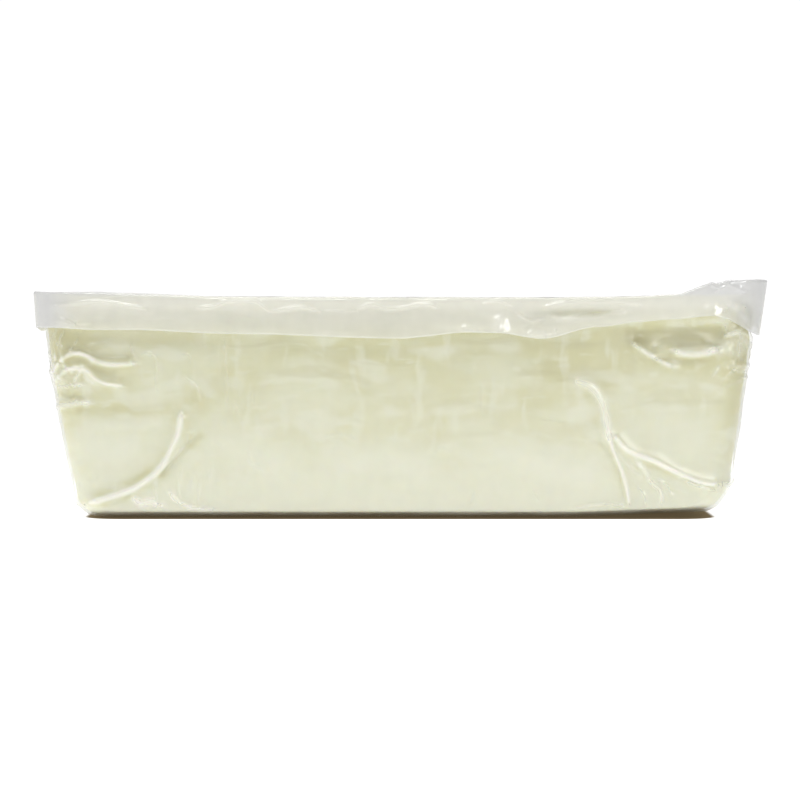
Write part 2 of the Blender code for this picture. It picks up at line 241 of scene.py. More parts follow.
GROOVES = (
    Fold(((-105, 17.6), (-99.6, 23.4), (-93.6, 31), (-91, 38)), -1.3, 1.6),
    Fold(((-147, 74.4), (-138, 74), (-131, 71), (-116, 71)), -1.3, 1.7),
    Fold(((-149, 54.4), (-144, 53), (-136, 53.6)), -1.5, 1.4),
    Fold(((-138, 47.2), (-128, 46.4), (-118, 45.6)), -0.4, 1.6),
    Fold(((-130, 63.8), (-126, 61.6), (-120, 60.6)), -0.6, 1.4),
    Fold(((80, 34.6), (86.6, 32.4), (91, 26.9), (95.2, 20), (96.9, 12), (98.2, 6)), -0.9, 1.2),
    Fold(((104, 25.4), (110.8, 22.4), (118, 18.6), (124, 15.6)), -0.5, 1.0),
    Fold(((104, 12), (116, 12.6), (127, 9.6), (137, 7.6)), -0.5, 2.2),
    Fold(((108, 74), (118, 76.4), (132, 76.6), (143, 78)), -1.6, 1.7),
    Fold(((108, 68.4), (114, 70), (122, 68.6), (130, 70)), -0.9, 1.4),
    Fold(((142, 67), (147, 63), (152, 63.6)), -0.8, 1.2),
    Fold(((38.5, 42.4), (38.6, 36.2)), -0.35, 0.6),
    Fold(((39, 55.6), (55.4, 55.4)), -0.3, 0.7),
    Fold(((-46.1, 44.4), (-46.2, 32)), -0.3, 0.5),
    Fold(((-23, 55.2), (-10.6, 55)), -0.35, 0.8),
    Fold(((12, 47), (19, 42), (18, 35), (8, 31)), -0.35, 1.1),
    Fold(((62, 61), (72, 59), (78, 57)), -0.4, 1.1),
)
# Broad hollows where the film stands away from the mould's flat face.
HOLLOWS = (
    Fold(((101, 80), (116, 80.4), (128, 81.4), (142, 80)), -2.6, 4.6),
    Fold(((-147, 79), (-112, 77), (-79, 76.6)), -0.9, 3.6),
    Fold(((-52, 77), (-36, 74.6), (2, 74)), -0.5, 3.2),
    Fold(((20, 71), (52, 69), (84, 66)), -0.5, 4.0),
    Fold(((96, 52), (116, 55), (140, 50)), -0.4, 4.5),
)
# Where air lies under the film, so that it looks milkier.
PANELS = (
    Fold(((-143, 38), (-128, 32), (-112, 34)), 0.35, 9.0, 0.40),
    Fold(((-140, 41.5), (-122, 40.5), (-102, 42.5)), 0.3, 3.6, 0.45),
    Fold(((-84, 36), (-66, 30), (-50, 22)), 0.25, 8.0, 0.34),
    Fold(((110, 44), (122, 41), (134, 34)), 0.4, 9.0, 0.36),
    Fold(((86, 18), (60, 24), (40, 30)), 0.25, 7.0, 0.36),
    Fold(((-30, 22), (-8, 26), (14, 20)), 0.25, 6.0, 0.34),
    Fold(((112, 60), (126, 58), (138, 54)), 0.25, 5.0, 0.22),
    Fold(((-72, 66), (-58, 70), (-40, 66)), 0.2, 4.0, 0.14),
)
# Where the film is pressed so tight that the cheese looks wetter and deeper in colour; most of these also
# paint shade, in the hollows under the skirt and beside the ridges.
DAMP_AND_SHADE = (
    Fold(((96, 79.6), (116, 80.4), (130, 80.8), (141, 82)), 0.0, 5.0, 1.1),
    Fold(((141, 88), (151, 86)), 0.0, 4.2, 2.0),
    Fold(((104, 85), (122, 87), (141, 89)), 0.0, 2.8, 1.7),
    Fold(((-150, 79), (-112, 78.6), (-84, 78.4)), 0.0, 3.6, 0.6),
    Fold(((-80, 76), (-40, 75), (0, 74.4)), 0.0, 4.6, 0.1),
    Fold(((20, 74), (52, 73), (84, 72)), 0.0, 6.0, 0.2),
    Fold(((60, 66), (84, 62), (104, 66)), 0.0, 6.0, 0.35),
    Fold(((-106, 17), (-99.6, 23.4), (-92.6, 31), (-84, 38)), 0.0, 2.4, 1.2),
    Fold(((-136, 3.4), (-118, 9.2), (-106, 14.6)), 0.0, 1.4, 1.0),
    Fold(((-134, 9.8), (-118, 15.4), (-108, 21.6)), 0.0, 1.7, 0.8),
    Fold(((62, 89.4), (79, 89.6), (96, 90.4)), 0.0, 2.4, 2.6),
    Fold(((-92, 46), (-84, 56), (-70, 58)), 0.0, 9.0, 0.35),
    Fold(((-143, 48), (-128, 47.2), (-114, 47.6), (-99, 50)), 0.0, 2.6, 0.7),
    Fold(((-149, 53), (-140, 53)), 0.0, 2.0, 1.2),
    Fold(((-148, 69), (-141, 69.4), (-134, 65.6), (-122, 61.6)), 0.0, 2.0, 0.9),
    Fold(((-147, 75), (-138, 75.4), (-128, 71.8), (-114, 72)), 0.0, 2.2, 0.6),
    Fold(((-146.6, 61.6), (-141, 62.4), (-137, 61)), 0.0, 1.2, 0.6),
    Fold(((82, 34), (89, 31), (93.4, 25), (96.4, 16), (97.8, 8)), 0.0, 1.8, 0.7),
    Fold(((104, 25), (118, 19.6), (134, 13.6)), 0.0, 1.6, 0.5),
    Fold(((110, 68.6), (116, 70), (124, 68.6), (134, 70)), 0.0, 2.0, 0.6),
    Fold(((-24, 55.4), (-10, 55)), 0.0, 1.6, 0.45),
    Fold(((-28, 58.8), (-16, 58.6)), 0.0, 1.2, 0.3),
    Fold(((38, 56), (56, 55.4)), 0.0, 1.2, 0.3),
    Fold(((12, 47), (18, 42), (16, 35), (8, 31)), 0.0, 1.8, 0.4),
    Fold(((52, 52), (60, 48), (66, 52)), 0.0, 4.0, 0.3),
)
# The skirt's seal: the ridge that the lid film makes where it leaves the loaf.
SEAL_LINE = (
    (-159, 93.6), (-149, 93.0), (-143, 93.6), (-130, 94.6), (-110, 91.2), (-88, 91.6), (-81, 92.2),
    (-74.8, 94.2), (-67.2, 94.8), (-61.8, 94.0), (-56.4, 90.5), (-49.9, 90.9), (-43.4, 92.0),
    (-34.7, 90.3), (-18.4, 91.2), (-12.6, 93.2), (-3, 91.4), (10.3, 93.4), (17, 91.6), (32, 88.6),
    (45, 86.4), (57, 88.4), (66, 87.2), (78, 88.0), (98, 90.2), (160, 96.0),
)
# The folds along the seal line are milkier along their crests, which paints a thin highlight line on the
# ridge.
SKIRT_FOLDS = (
    Fold(SEAL_LINE[:5], 0.45, 0.7, 0.22, Wall.SKIRT),
    Fold(SEAL_LINE[5:14], 0.6, 0.7, 0.3, Wall.SKIRT),
    Fold(SEAL_LINE[14:19], 0.5, 0.7, 0.25, Wall.SKIRT),
    Fold(((-34, 90.6), (-18, 90.2)), 0.25, 0.5, 0.15, Wall.SKIRT),
    Fold(((36, 93.6), (42, 94.6), (48, 92.4)), 0.5, 0.7, 0.2, Wall.SKIRT),
    Fold(((42.8, 89.4), (42.9, 85), (42.6, 80.8)), 0.8, 3.0, 0.15, Wall.SKIRT),
    Fold(((26, 82), (29.4, 82.4), (33, 82.2)), 0.8, 1.9, 0.15, Wall.SKIRT),
    Fold(((50, 89.8), (56, 86.2), (62, 86.8)), 0.5, 0.7, 0.2, Wall.SKIRT),
    Fold(((54.4, 80.4), (59, 80), (64.4, 80.4)), 1.1, 2.2, 0.15, Wall.SKIRT),
    Fold(((66.2, 81.2), (68.2, 81.6)), 0.7, 1.6, 0.15, Wall.SKIRT),
    Fold(((141.6, 102.2), (143.6, 101.8)), 1.0, 1.7, 0.15, Wall.SKIRT),
    Fold(((146, 101.0), (148.2, 100.4)), 0.9, 1.5, 0.15, Wall.SKIRT),
    Fold(((64, 88.4), (70, 86.6), (84, 87.6), (99, 90.6)), 0.2, 1.8, 0.2, Wall.SKIRT),
    Fold(((62, 92), (72, 94), (88, 94.2), (104, 93.2)), 0.4, 1.1, 0.12, Wall.SKIRT),
    Fold(((70, 91.4), (82, 90.6), (94, 92)), -0.1, 2.6, 0.0, Wall.SKIRT),
    Fold(((-80, 89), (-68, 88.4), (-58, 86)), -0.35, 3.6, 0.0, Wall.SKIRT),
    Fold(((-126, 88), (-108, 86.4), (-92, 87)), -0.3, 4.0, 0.0, Wall.SKIRT),
    Fold(((133, 103), (138, 100.4), (143, 101.4), (150, 98.2)), 0.8, 0.8, 0.35, Wall.SKIRT),
    Fold(((136, 98.6), (139.6, 101.6)), 0.5, 0.6, 0.3, Wall.SKIRT),
    Fold(((141, 95), (147, 90), (150.6, 84)), 0.15, 2.4, 0.2, Wall.SKIRT),
    Fold(((118, 91.6), (130, 93.6), (140, 92)), -0.1, 3.4, 0.0, Wall.SKIRT),
    Fold(((-150, 90), (-143, 87), (-139, 83.6)), -0.6, 1.6, 0.0, Wall.SKIRT),
    Fold(((-148, 86), (-141, 84.6), (-134, 84.8)), 0.2, 0.9, 0.15, Wall.SKIRT),
)


# ---------------------------------------------------------------- the loaf's form


@dataclass(frozen=True)
class LoafForm:
    """The tapered, round-edged form of the loaf, out to the film that clings to it."""

    height: float = 95 * MM
    top_reach_left: float = 156.2 * MM
    top_reach_right: float = 154.7 * MM
    base_reach_left: float = 140.9 * MM
    base_reach_right: float = 143 * MM
    top_half_width: float = 51 * MM
    base_half_width: float = 43.5 * MM
    belly: float = 1.2 * MM
    corner_radius: float = 11 * MM
    top_edge: float = 5 * MM
    base_edge: float = 5 * MM
    left_base_edge: float = 8 * MM
    right_base_edge: float = 14 * MM
    heel_lift: float = 2.6 * MM
    heel_start: float = 78.5 * MM
    ends_from: float = 0.86  # the share of the reach where the rounder lower edge of the ends starts
    # The lower edge: how far it has turned under, then its shares outwards and down.
    base_turns: tuple[tuple[float, float, float], ...] = (
        (0.0, 1.0, 0.0),
        (0.35, 1.0, 0.46),
        (0.5, 0.985, 0.62),
        (0.6, 0.93, 0.70),
        (0.7, 0.80, 0.745),
        (1.0, 0.0, 1.0),
    )

    @property
    def half(self) -> Points:
        """Half the sizes of the straight box that the loaf is laid from."""
        return np.array([self.top_reach_left, self.top_half_width, self.height / 2])

    def reach(self, height: Points, side: Points) -> Points:
        """Tells how far the loaf reaches along X.

        Args:
            height: The heights.
            side: 1 for the right end and -1 for the left, for each height.

        Returns:
            The reach at each height.
        """
        share = height / self.height
        right = self.base_reach_right + (self.top_reach_right - self.base_reach_right) * share
        left = self.base_reach_left + (self.top_reach_left - self.base_reach_left) * share
        swell = self.belly * np.sin(math.pi * np.clip(share, 0, 1))
        return np.where(side > 0, right, left) + swell

    def half_width(self, height: Points) -> Points:
        """Gives half of the loaf's width at these heights.

        Args:
            height: The heights.

        Returns:
            Half of the width at each height.
        """
        share = height / self.height
        width = self.base_half_width + (self.top_half_width - self.base_half_width) * share
        return width + self.belly * np.sin(math.pi * np.clip(share, 0, 1))

    def base_profile(self, past: Points, share: Points) -> Points:
        """Turns the round lower edge into a crisp one with a shallow slope under it.

        Args:
            past: Unit vectors from the middle of the rounding.
            share: How far each is turned, from 0 to 1.

        Returns:
            The vectors to the new profile.
        """
        level = np.hypot(past[:, 0], past[:, 1])
        turned = np.arctan2(-past[:, 2], level) / (math.pi / 2)
        table = np.array(self.base_turns)
        out = np.interp(turned, table[:, 0], table[:, 1])
        down = np.interp(turned, table[:, 0], table[:, 2])
        crisp = past * (out / np.maximum(level, 1e-9))[:, None]
        crisp[:, 2] = -down
        below = (past[:, 2] < -1e-9) * share
        return past + (crisp - past) * below[:, None]

    def lay(self, box: Points) -> Points:
        """Lays points of the straight box on the loaf.

        Args:
            box: The points, measured from the box's middle.

        Returns:
            Their places on the loaf.
        """
        half = self.half
        end = smooth((np.abs(box[:, 0] / half[0]) - self.ends_from) / (1 - self.ends_from))
        full = np.where(box[:, 0] > 0, self.right_base_edge, self.left_base_edge)
        base_edge = self.base_edge + (full - self.base_edge) * end
        edge = np.full_like(box, self.corner_radius)
        edge[:, 2] = np.where(box[:, 2] > 0, self.top_edge, base_edge)
        core = np.clip(box, edge - half, half - edge)
        past = (box - core) / edge
        past /= np.maximum(np.linalg.norm(past, axis=1, keepdims=True), 1e-9)
        box = core + self.base_profile(past, 1 - end) * edge
        height = box[:, 2] + self.height / 2
        x = box[:, 0] / half[0] * self.reach(height, box[:, 0])
        y = box[:, 1] / half[1] * self.half_width(height)
        heel = (x - self.heel_start) / (self.base_reach_right - self.heel_start)
        lift = self.heel_lift * np.clip(heel, 0, 1) * (1 - height / self.height) ** 2
        return np.stack([x, y, height + lift], axis=1)

    def on_wall(self, wall: Wall, line: Points) -> Points:
        """Lays a line on a wall.

        Args:
            wall: One of the four walls.
            line: Places along the wall and up it, one row each.

        Returns:
            The line's places on the loaf.
        """
        along, height = line[:, 0], line[:, 1]
        half_width = self.half_width(height)
        deep = self.corner_radius * half_width / self.top_half_width
        if wall in (Wall.FRONT, Wall.BACK):
            reach = self.reach(height, along)
            long = self.corner_radius * reach / self.top_reach_left
            turned = np.clip((np.abs(along) - (reach - long)) / long, 0, 1)
            across = half_width - deep * (1 - np.sqrt(1 - turned**2))
            return np.stack([along, across * (-1 if wall is Wall.FRONT else 1), height], axis=1)
        side = -1.0 if wall is Wall.LEFT else 1.0
        reach = self.reach(height, np.full(len(height), side))
        turned = np.clip((np.abs(along) - (half_width - deep)) / deep, 0, 1)
        out = reach - self.corner_radius * (1 - np.sqrt(1 - turned**2))
        return np.stack([out * side, along, height], axis=1)


# ---------------------------------------------------------------- rings and skins


@dataclass(frozen=True)
class Rim:
    """Lines round a level box, close together near its ends and wider between."""

    half_x: float
    half_y: float
    close: float
    wide: float
    close_from: float

    def lines_x(self) -> Points:
        """Gives the places of the lines along the front and the back.

        Returns:
            The places, from left to right.
        """
        near = np.linspace(0, self.close_from, max(2, round(self.close_from / self.wide)) + 1)
        span = self.half_x - self.close_from
        far = np.linspace(self.close_from, self.half_x, max(2, round(span / self.close)) + 1)
        right = np.concatenate([near[1:], far[1:]])
        return np.concatenate([-right[::-1], [0.0], right])

    def lines_y(self) -> Points:
        """Gives the places of the lines along the ends."""
        return np.linspace(-self.half_y, self.half_y, 2 * round(self.half_y / self.close) + 1)

    def spots(self) -> Points:
        """Gives the rim's points, from the front left corner along the front and round.

        Returns:
            The points, one row each.
        """
        x, y = self.lines_x(), self.lines_y()
        front = np.stack([x[:-1], np.full(len(x) - 1, y[0])], axis=1)
        right = np.stack([np.full(len(y) - 1, x[-1]), y[:-1]], axis=1)
        back = np.stack([x[:0:-1], np.full(len(x) - 1, y[-1])], axis=1)
        left = np.stack([np.full(len(y) - 1, x[0]), y[:0:-1]], axis=1)
        return np.concatenate([front, right, back, left])

    def sleeve(self, rings: int) -> list[tuple[int, ...]]:
        """Lists the faces between rings of points that run outwards or downwards.

        Args:
            rings: How many rings there are.

        Returns:
            The faces, which look outwards.
        """
        count = len(self.spots())
        faces = []
        for ring in range(rings - 1):
            upper = ring * count
            lower = upper + count
            for spot in range(count):
                after = (spot + 1) % count
                faces.append((upper + spot, lower + spot, lower + after, upper + after))
        return faces

    def ladder(self, first: int, looks_up: bool) -> list[tuple[int, ...]]:
        """Lists the faces that close a ring with long rungs from front to back.

        Args:
            first: The number of the ring's first point.
            looks_up: Whether the faces look up or down.

        Returns:
            The faces.
        """
        long, short = len(self.lines_x()) - 1, len(self.lines_y()) - 1
        count = 2 * (long + short)
        far = long + short + long
        faces = [(k, k + 1, far - k - 1, far - k) for k in range(1, long - 1)]
        faces.append(tuple(range(long - 1, long + short + 2)))
        faces.append((*range(far - 1, count), 0, 1))
        faces = [tuple(first + point for point in face) for face in faces]
        return faces if looks_up else [face[::-1] for face in faces]


@dataclass
class Skin:
    """A mesh in the making, with its tone: how milky a film is; on the cheese, the painted light and shade
    and how wet it looks.
    """

    name: str
    points: Points
    faces: list[tuple[int, ...]]
    tone: Points | None = None

    def build(self) -> bpy.types.Object:
        """Turns the skin into a smooth-shaded object of the scene.

        Returns:
            The object.
        """
        data = bpy.data.meshes.new(self.name)
        data.from_pydata(self.points.tolist(), [], self.faces)
        data.update()
        tone = data.attributes.new("tone", "FLOAT", "POINT")
        if self.tone is not None:
            tone.data.foreach_set("value", self.tone.astype(np.float32))
        data.shade_smooth()
        made = bpy.data.objects.new(self.name, data)
        bpy.context.scene.collection.objects.link(made)
        return made


def settle(piece: bpy.types.Object) -> None:
    """Makes the result of a piece's modifiers its own plain mesh.

    Args:
        piece: The piece.
    """
    graph = bpy.context.evaluated_depsgraph_get()
    mesh = bpy.data.meshes.new_from_object(piece.evaluated_get(graph))
    mesh.name = piece.name
    before = piece.data
    piece.modifiers.clear()
    piece.data = mesh
    bpy.data.meshes.remove(before)


# ---------------------------------------------------------------- node trees


class Bench:
    """Lays nodes in a tree and joins them."""

    def __init__(self, tree: bpy.types.NodeTree) -> None:
        """Starts on an empty tree."""
        self.tree = tree
        tree.nodes.clear()

    def add(self, kind: str, inputs: dict | None = None, **settings: object) -> bpy.types.Node:
        """Adds a node.

        Args:
            kind: The node's type.
            inputs: What its sockets get, by name or number: a value or another socket.
            **settings: The node's own settings.

        Returns:
            The node.
        """
        node = self.tree.nodes.new(kind)
        for name, value in settings.items():
            setattr(node, name, value)
        for socket, value in (inputs or {}).items():
            if isinstance(value, bpy.types.NodeSocket):
                self.tree.links.new(value, node.inputs[socket])
            else:
                node.inputs[socket].default_value = value
        return node

    def finish(self, result: bpy.types.NodeSocket, output: bpy.types.Node) -> None:
        """Joins the last result to the tree's output."""
        self.tree.links.new(result, output.inputs[0])

    def math(self, operation: str, *values: object, clamp: bool = False) -> bpy.types.NodeSocket:
        """Adds a Math node on these values and returns its result."""
        inputs = dict(enumerate(values))
        return self.add("ShaderNodeMath", inputs, operation=operation, use_clamp=clamp).outputs[0]

    def length(self, vector: object) -> bpy.types.NodeSocket:
        """Measures a vector and returns its length."""
        return self.add("ShaderNodeVectorMath", {0: vector}, operation="LENGTH").outputs["Value"]

    def scaled(self, vector: object, by: object) -> bpy.types.NodeSocket:
        """Scales a vector and returns the result."""
        return self.add("ShaderNodeVectorMath", {0: vector, "Scale": by}, operation="SCALE").outputs[0]

    def mix_colour(self, factor: object, low: object, high: object) -> bpy.types.NodeSocket:
        """Adds a colour mix and returns its result.

        Args:
            factor: How much of the high colour shows.
            low: The colour where the factor is 0.
            high: The colour where the factor is 1.

        Returns:
            The mixed colour.
        """
        node = self.add("ShaderNodeMix", data_type="RGBA")
        sockets = (node.inputs[0], node.inputs[6], node.inputs[7])
        for socket, value in zip(sockets, (factor, low, high)):
            if isinstance(value, bpy.types.NodeSocket):
                self.tree.links.new(value, socket)
            else:
                socket.default_value = value
        return node.outputs[2]

    def noise(self, at: bpy.types.NodeSocket, scale: float, detail: float) -> bpy.types.NodeSocket:
        """Adds a noise texture and returns its value."""
        inputs = {"Vector": at, "Scale": scale, "Detail": detail}
        return self.add("ShaderNodeTexNoise", inputs).outputs[0]

    def stretched(self, at: bpy.types.NodeSocket, level: float, upright: float) -> bpy.types.NodeSocket:
        """Scales coordinates, along the level axes and upwards, and returns the result."""
        return self.add("ShaderNodeMapping", {"Vector": at, "Scale": (level, level, upright)}).outputs[0]

    def soft_step(self, value: object, low: float, high: float, top: float = 1.0) -> bpy.types.NodeSocket:
        """Adds a soft step, from 0 at the low value to its top at the high one."""
        inputs = {"Value": value, "From Min": low, "From Max": high, "To Max": top}
        return self.add("ShaderNodeMapRange", inputs, interpolation_type="SMOOTHSTEP").outputs[0]


class ModifierTree:
    """A Geometry Nodes tree with named inputs, put on pieces as a modifier."""

    name = "tree"
    sockets: tuple[tuple[str, str], ...] = ()
    # Relief dies away between these upward parts of the normal, so that the base stays flat.
    off_base = (-0.8, -0.35)

    def __init__(self) -> None:
        """Makes the tree and its sockets."""
        self.tree = bpy.data.node_groups.new(self.name, "GeometryNodeTree")
        self.bench = Bench(self.tree)
        face = self.tree.interface
        face.new_socket("Geometry", in_out="INPUT", socket_type="NodeSocketGeometry")
        face.new_socket("Geometry", in_out="OUTPUT", socket_type="NodeSocketGeometry")
        for socket, kind in (*self.sockets, ("Material", "NodeSocketMaterial")):
            face.new_socket(socket, in_out="INPUT", socket_type=kind)
        self.inputs = self.bench.add("NodeGroupInput").outputs
        made = self.lay()
        real = self.bench.add("GeometryNodeRealizeInstances", {0: made}).outputs[0]
        dressed = self.bench.add(
            "GeometryNodeSetMaterial", {"Geometry": real, "Material": self.inputs["Material"]}
        )
        self.bench.add("NodeGroupOutput", {0: dressed.outputs[0]})

    def lay(self) -> bpy.types.NodeSocket:
        """Lays the tree's own nodes and returns the geometry that they make."""
        raise NotImplementedError

    def raised(self, height: bpy.types.NodeSocket) -> bpy.types.NodeSocket:
        """Moves the geometry out along its normals and returns it.

        Args:
            height: How far each point moves.

        Returns:
            The moved geometry.
        """
        bench = self.bench
        normal = bench.add("GeometryNodeInputNormal").outputs[0]
        up = bench.add("ShaderNodeSeparateXYZ", {0: normal}).outputs["Z"]
        height = bench.math("MULTIPLY", height, bench.soft_step(up, *self.off_base))
        inputs = {"Geometry": self.inputs["Geometry"], "Offset": bench.scaled(normal, height)}
        return bench.add("GeometryNodeSetPosition", inputs).outputs[0]

    def put_on(self, piece: bpy.types.Object, **values: object) -> None:
        """Puts the tree on a piece.

        Args:
            piece: The piece.
            **values: The named inputs, with _ for a space.
        """
        modifier = piece.modifiers.new(self.name, "NODES")
        modifier.node_group = self.tree
        for item in self.tree.interface.items_tree:
            wanted = item.name.lower().replace(" ", "_")
            if item.in_out == "INPUT" and wanted in values:
                modifier[item.identifier] = values[wanted]


class PleatTree(ModifierTree):
    """Raises a skin along the folds of a guide, and changes its tone there: the film turns milkier, and the
    cheese gets painted highlights on crests and painted shade beside them.
    """

    name = "pleats along a guide"
    sockets = (
        ("Guide", "NodeSocketObject"),
        ("Lift", "NodeSocketFloat"),
        ("Spread", "NodeSocketFloat"),
        ("Sharpness", "NodeSocketFloat"),
        ("Milkiness", "NodeSocketFloat"),
        ("Crest", "NodeSocketFloat"),
    )

    def _of_guide(self, guide: object, index: object, name: str) -> bpy.types.NodeSocket:
        """Reads one of the guide's attributes at its nearest point.

        Args:
            guide: The guide's geometry.
            index: The number of its nearest point.
            name: The attribute's name.

        Returns:
            The attribute's value there.
        """
        value = self.bench.add("GeometryNodeInputNamedAttribute", {0: name}, data_type="FLOAT")
        inputs = {0: guide, 1: value.outputs[0], "Index": index}
        return self.bench.add("GeometryNodeSampleIndex", inputs, data_type="FLOAT").outputs[0]

    def lay(self) -> bpy.types.NodeSocket:
        """Lays the nodes.

        Returns:
            The pleated geometry, with its new tone.
        """
        bench = self.bench
        guide = bench.add("GeometryNodeObjectInfo", {"Object": self.inputs["Guide"]})
        guide = guide.outputs["Geometry"]
        gap = bench.add("GeometryNodeProximity", {0: guide}, target_element="EDGES")
        index = bench.add("GeometryNodeSampleNearest", {0: guide}, domain="POINT").outputs[0]
        lift = self._of_guide(guide, index, "lift")
        width = self._of_guide(guide, index, "half_width")
        haze = self._of_guide(guide, index, "haze")

        width = bench.math("MULTIPLY", width, self.inputs["Spread"])
        away = bench.math("DIVIDE", gap.outputs["Distance"], width)
        fall = bench.math("POWER", away, self.inputs["Sharpness"])
        profile = bench.math("EXPONENT", bench.math("MULTIPLY", fall, -1.0))

        height = bench.math("MULTIPLY", lift, self.inputs["Lift"])
        moved = self.raised(bench.math("MULTIPLY", height, profile))

        before = bench.add("GeometryNodeInputNamedAttribute", {0: "tone"}, data_type="FLOAT")
        crest = bench.math("POWER", bench.math("DIVIDE", away, self.inputs["Crest"]), 2.0)
        crest = bench.math("EXPONENT", bench.math("MULTIPLY", crest, -1.0))
        milk = bench.math("MULTIPLY", haze, self.inputs["Milkiness"])
        milk = bench.math("MULTIPLY", milk, crest)
        milk = bench.math("ADD", before.outputs[0], milk)
        stored = bench.add(
            "GeometryNodeStoreNamedAttribute",
            {"Geometry": moved, "Name": "tone", "Value": milk},
            data_type="FLOAT",
            domain="POINT",
        )
        return stored.outputs[0]


class SlackTree(ModifierTree):
    """Lets a skin rise and fall softly, as slack film and cast cheese do."""

    name = "slack"
    sockets = (
        ("Size", "NodeSocketFloat"),
        ("Depth", "NodeSocketFloat"),
        ("Seed", "NodeSocketFloat"),
    )

    def lay(self) -> bpy.types.NodeSocket:
        """Lays the nodes.

        Returns:
            The geometry with its slack.
        """
        bench = self.bench
        at = bench.add("GeometryNodeInputPosition").outputs[0]
        scale = bench.math("DIVIDE", 1.0, self.inputs["Size"])
        noise = bench.add(
            "ShaderNodeTexNoise",
            {"Vector": at, "W": self.inputs["Seed"], "Scale": scale, "Detail": 1.5, "Roughness": 0.4},
            noise_dimensions="4D",
        )
        height = bench.math("SUBTRACT", noise.outputs[0], 0.5)
        return self.raised(bench.math("MULTIPLY", height, self.inputs["Depth"]))


@dataclass
class Guide:
    """The lines of some folds, as a wire that the pleat tree reads."""

    name: str
    folds: Sequence[Fold]
    place: Callable[[Wall, Points], Points]
    spacing: float = 0.8  # millimetres
    fade: float = 3.0  # millimetres over which a fold sinks in at each end
    at_end: float = 0.3  # how much of a fold's height is left at its very end
    unevenness: float = 0.09  # how much a fold's height and width vary along it
    rise_wave: tuple[float, float] = (1.5, 3.5)  # millimetres, as a sine's divisor
    swell_wave: tuple[float, float] = (2.0, 4.5)
    full_turn: float = 6.3

    def _wave(self, along: Points, draw: np.random.Generator, divisor: tuple[float, float]) -> Points:
        """Draws a gentle wave round 1 along a fold."""
        turned = along / draw.uniform(*divisor) + draw.uniform(0, self.full_turn)
        return 1 + self.unevenness * np.sin(turned)

    def build(self) -> bpy.types.Object:
        """Builds the wire.

        Returns:
            The wire, which is hidden.
        """
        points, edges, lift, width, haze = [], [], [], [], []
        draw = np.random.default_rng(len(self.folds))
        for fold in self.folds:
            line = path_through(fold.points, self.spacing)
            along = self.spacing * np.arange(len(line))
            fade = min(self.fade, along[-1] / 2)
            strength = smooth(np.minimum(along, along[-1] - along) / fade)
            strength = self.at_end + (1 - self.at_end) * strength
            rise = self._wave(along, draw, self.rise_wave)
            swell = self._wave(along, draw, self.swell_wave)
            first = len(points)
            points.extend(self.place(fold.wall, line * MM).tolist())
            edges.extend((k, k + 1) for k in range(first, len(points) - 1))
            lift.extend(fold.lift * MM * strength * rise)
            haze.extend(fold.haze * strength)
            width.extend(fold.half_width * MM * swell)
        data = bpy.data.meshes.new(self.name)
        data.from_pydata(points, edges, [])
        for label, values in (("lift", lift), ("half_width", width), ("haze", haze)):
            layer = data.attributes.new(label, "FLOAT", "POINT")
            layer.data.foreach_set("value", np.array(values, np.float32))
        wire = bpy.data.objects.new(self.name, data)
        wire.hide_render = True
        bpy.context.scene.collection.objects.link(wire)
        return wire


@dataclass(frozen=True)
class Spread:
    """How the front's folds are repeated round the loaf; its lengths are in millimetres."""

    form: LoafForm
    lowest: float = 4.2
    highest_back: float = 90
    highest_end: float = 88
    drift_back: float = 1.3
    drift_end: float = 1.6
    lean: float = 0.05  # radians
    strength_back: float = 0.85  # shares of the height and haze on the front
    strength_end: float = 0.5
    reaches_ends_from: float = 84  # a fold that stays past this shows on the end wall too
    narrowing: float = 0.62  # how much closer to the corner it lies there

    def all_round(self, folds: Sequence[Fold], seed: int) -> list[Fold]:
        """Repeats folds on the other walls, each with its own slight shift.

        Args:
            folds: The folds of the front.
            seed: The seed of the shifts.

        Returns:
            The folds of all four walls.
        """
        draw = np.random.default_rng(seed)
        made = list(folds)
        for fold in folds:
            made.append(self._on_back(fold, draw.normal(0, self.drift_back, 2), draw.normal(0, self.lean)))
            if np.abs(np.array(fold.points)[:, 0]).min() < self.reaches_ends_from:
                continue
            for wall, side in ((Wall.LEFT, 1), (Wall.RIGHT, -1)):
                made.append(self._on_end(fold, wall, side, draw.normal(0, self.drift_end, 2)))
        return made

    def _on_back(self, fold: Fold, shift: Points, turn: float) -> Fold:
        """Turns a fold round to the back wall.

        Args:
            fold: The fold of the front.
            shift: How far it is shifted, along the wall and up it.
            turn: How far it leans, in radians.

        Returns:
            The fold of the back.
        """

        def place(points: Points) -> Points:
            """Turns and shifts the fold's points.

            Args:
                points: The fold's points on the front.

            Returns:
                Its points on the back.
            """
            middle = points.mean(axis=0)
            swung = points + turn * (points - middle)[:, ::-1] * (1, -1) + shift
            height = np.clip(swung[:, 1], self.lowest, self.highest_back)
            return np.stack([-swung[:, 0], height], axis=1)

        return fold.moved(Wall.BACK, place, self.strength_back)

    def _on_end(self, fold: Fold, wall: Wall, side: int, shift: Points) -> Fold:
        """Brings a corner's fold round to an end wall, drawn closer together.

        Args:
            fold: The fold of the front.
            wall: The end wall.
            side: The way in which the end wall's own coordinates run.
            shift: How far it is shifted, along the wall and up it.

        Returns:
            The fold of the end.
        """

        def place(points: Points) -> Points:
            """Brings the fold's points round the corner.

            Args:
                points: The fold's points on the front.

            Returns:
                Its points on the end wall.
            """
            height = np.clip(points[:, 1] + shift[1], self.lowest, self.highest_end)
            ends = np.sign(points[0, 0])
            reach = self.form.reach(points[:, 1] * MM, np.full(len(points), ends)) / MM
            inwards = self.narrowing * (reach - np.abs(points[:, 0]))
            edge = self.form.half_width(height * MM) / MM
            return np.stack([side * ends * (edge - inwards) + shift[0], height], axis=1)

        return fold.moved(wall, place, self.strength_end)


